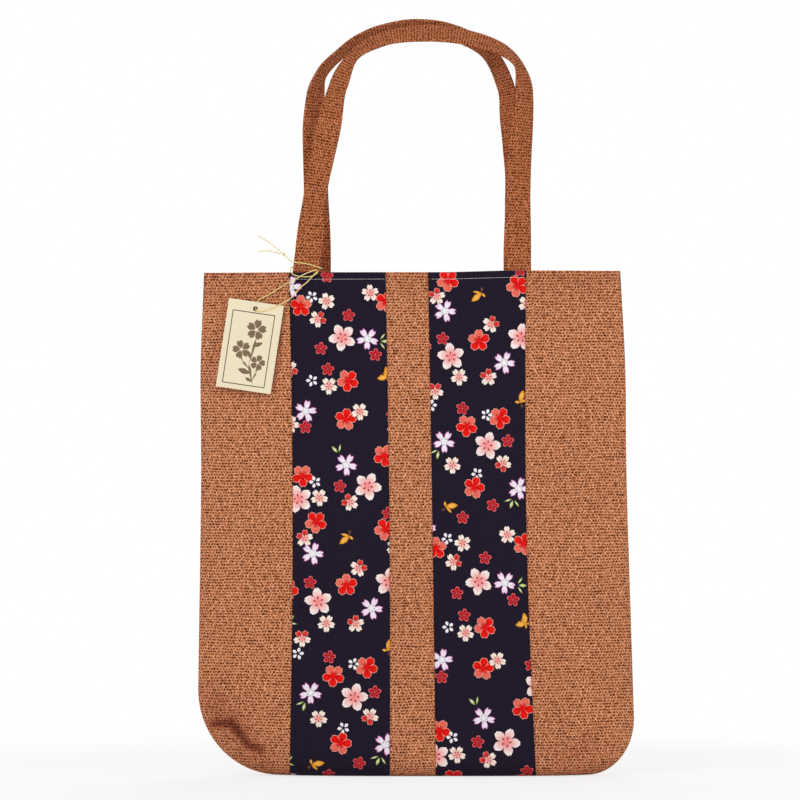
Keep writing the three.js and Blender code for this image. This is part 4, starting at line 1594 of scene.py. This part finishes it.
def add_floor():
    """A pale floor. It looks white, but for the bag's soft shadow close to it."""
    mesh = bpy.data.meshes.new("floor")
    corners = [(x, y, 0) for x, y in rectangle(-FLOOR_HALF, -FLOOR_HALF, FLOOR_HALF, FLOOR_HALF)]
    mesh.from_pydata(corners, [], [(0, 1, 2, 3)])
    floor = bpy.data.objects.new("floor", mesh)
    floor.location.z = -FLOOR_DROP
    bpy.context.scene.collection.objects.link(floor)
    shader = Shader("floor", 0.9, 0.5)
    shader.paint((FLOOR_GREY, FLOOR_GREY, FLOOR_GREY, 1))
    place = shader.node("ShaderNodeTexCoord", {}).outputs["Object"]
    away = shader.node("ShaderNodeVectorMath", {0: place}, operation="LENGTH").outputs["Value"]
    fade = shader.spread(away, *SHADOW_REACH, SHADOW_WHITE, 1)
    share = shader.times(shader.seen_directly(), fade)
    white = shader.node("ShaderNodeEmission", {}).outputs[0]
    both = shader.node("ShaderNodeMixShader", {0: share, 1: shader.surface.outputs[0], 2: white})
    shader.feed(shader.tree.nodes["Material Output"].inputs["Surface"], both.outputs[0])
    mesh.materials.append(shader.material)


WORLD_LIGHT = 0.5


def add_world():
    """White where it is seen, and a dimmer light on the bag."""
    world = bpy.data.worlds.new("studio")
    nodes = Nodes(world)
    background = nodes.tree.nodes["Background"]
    background.inputs["Color"].default_value = (1, 1, 1, 1)
    nodes.feed(background.inputs["Strength"], nodes.spread(nodes.seen_directly(), 0, 1, WORLD_LIGHT, 1))
    bpy.context.scene.world = world


add_camera()
thread_on_handle()
strand("gold_thread_front_strand", FRONT_STRAND_POINTS, "tag_string_front")
strand("gold_thread_back_strand", BACK_STRAND_POINTS, "tag_string_back")
hang_tag()

# Each side: which way it faces, its handle, and how far down the print's repeat its cloth is cut
SIDES = [("front", -1, FRONT_HANDLE, 1.2), ("back", 1, BACK_HANDLE, 74)]
for side, facing, handle, cut in SIDES:
    left_half, right_half = ("first", "second") if facing < 0 else ("second", "first")
    canvas_strip(side, facing, "left_side_strip", None, "outer_left")
    printed_strip(side, facing, "left", "outer_left", "inner_left", left_half, cut)
    canvas_strip(side, facing, "centre_strip", "inner_left", "inner_right")
    printed_strip(side, facing, "right", "inner_right", "outer_right", right_half, cut)
    canvas_strip(side, facing, "right_side_strip", "outer_right", None)
    lining(side, facing)
    facing_band(side, facing, handle)
    stitch_rows(side, facing)
    strap(handle)

add_floor()
add_world()
for lamp in LAMPS:
    add_lamp(*lamp)
bpy.context.scene.view_settings.view_transform = "Standard"
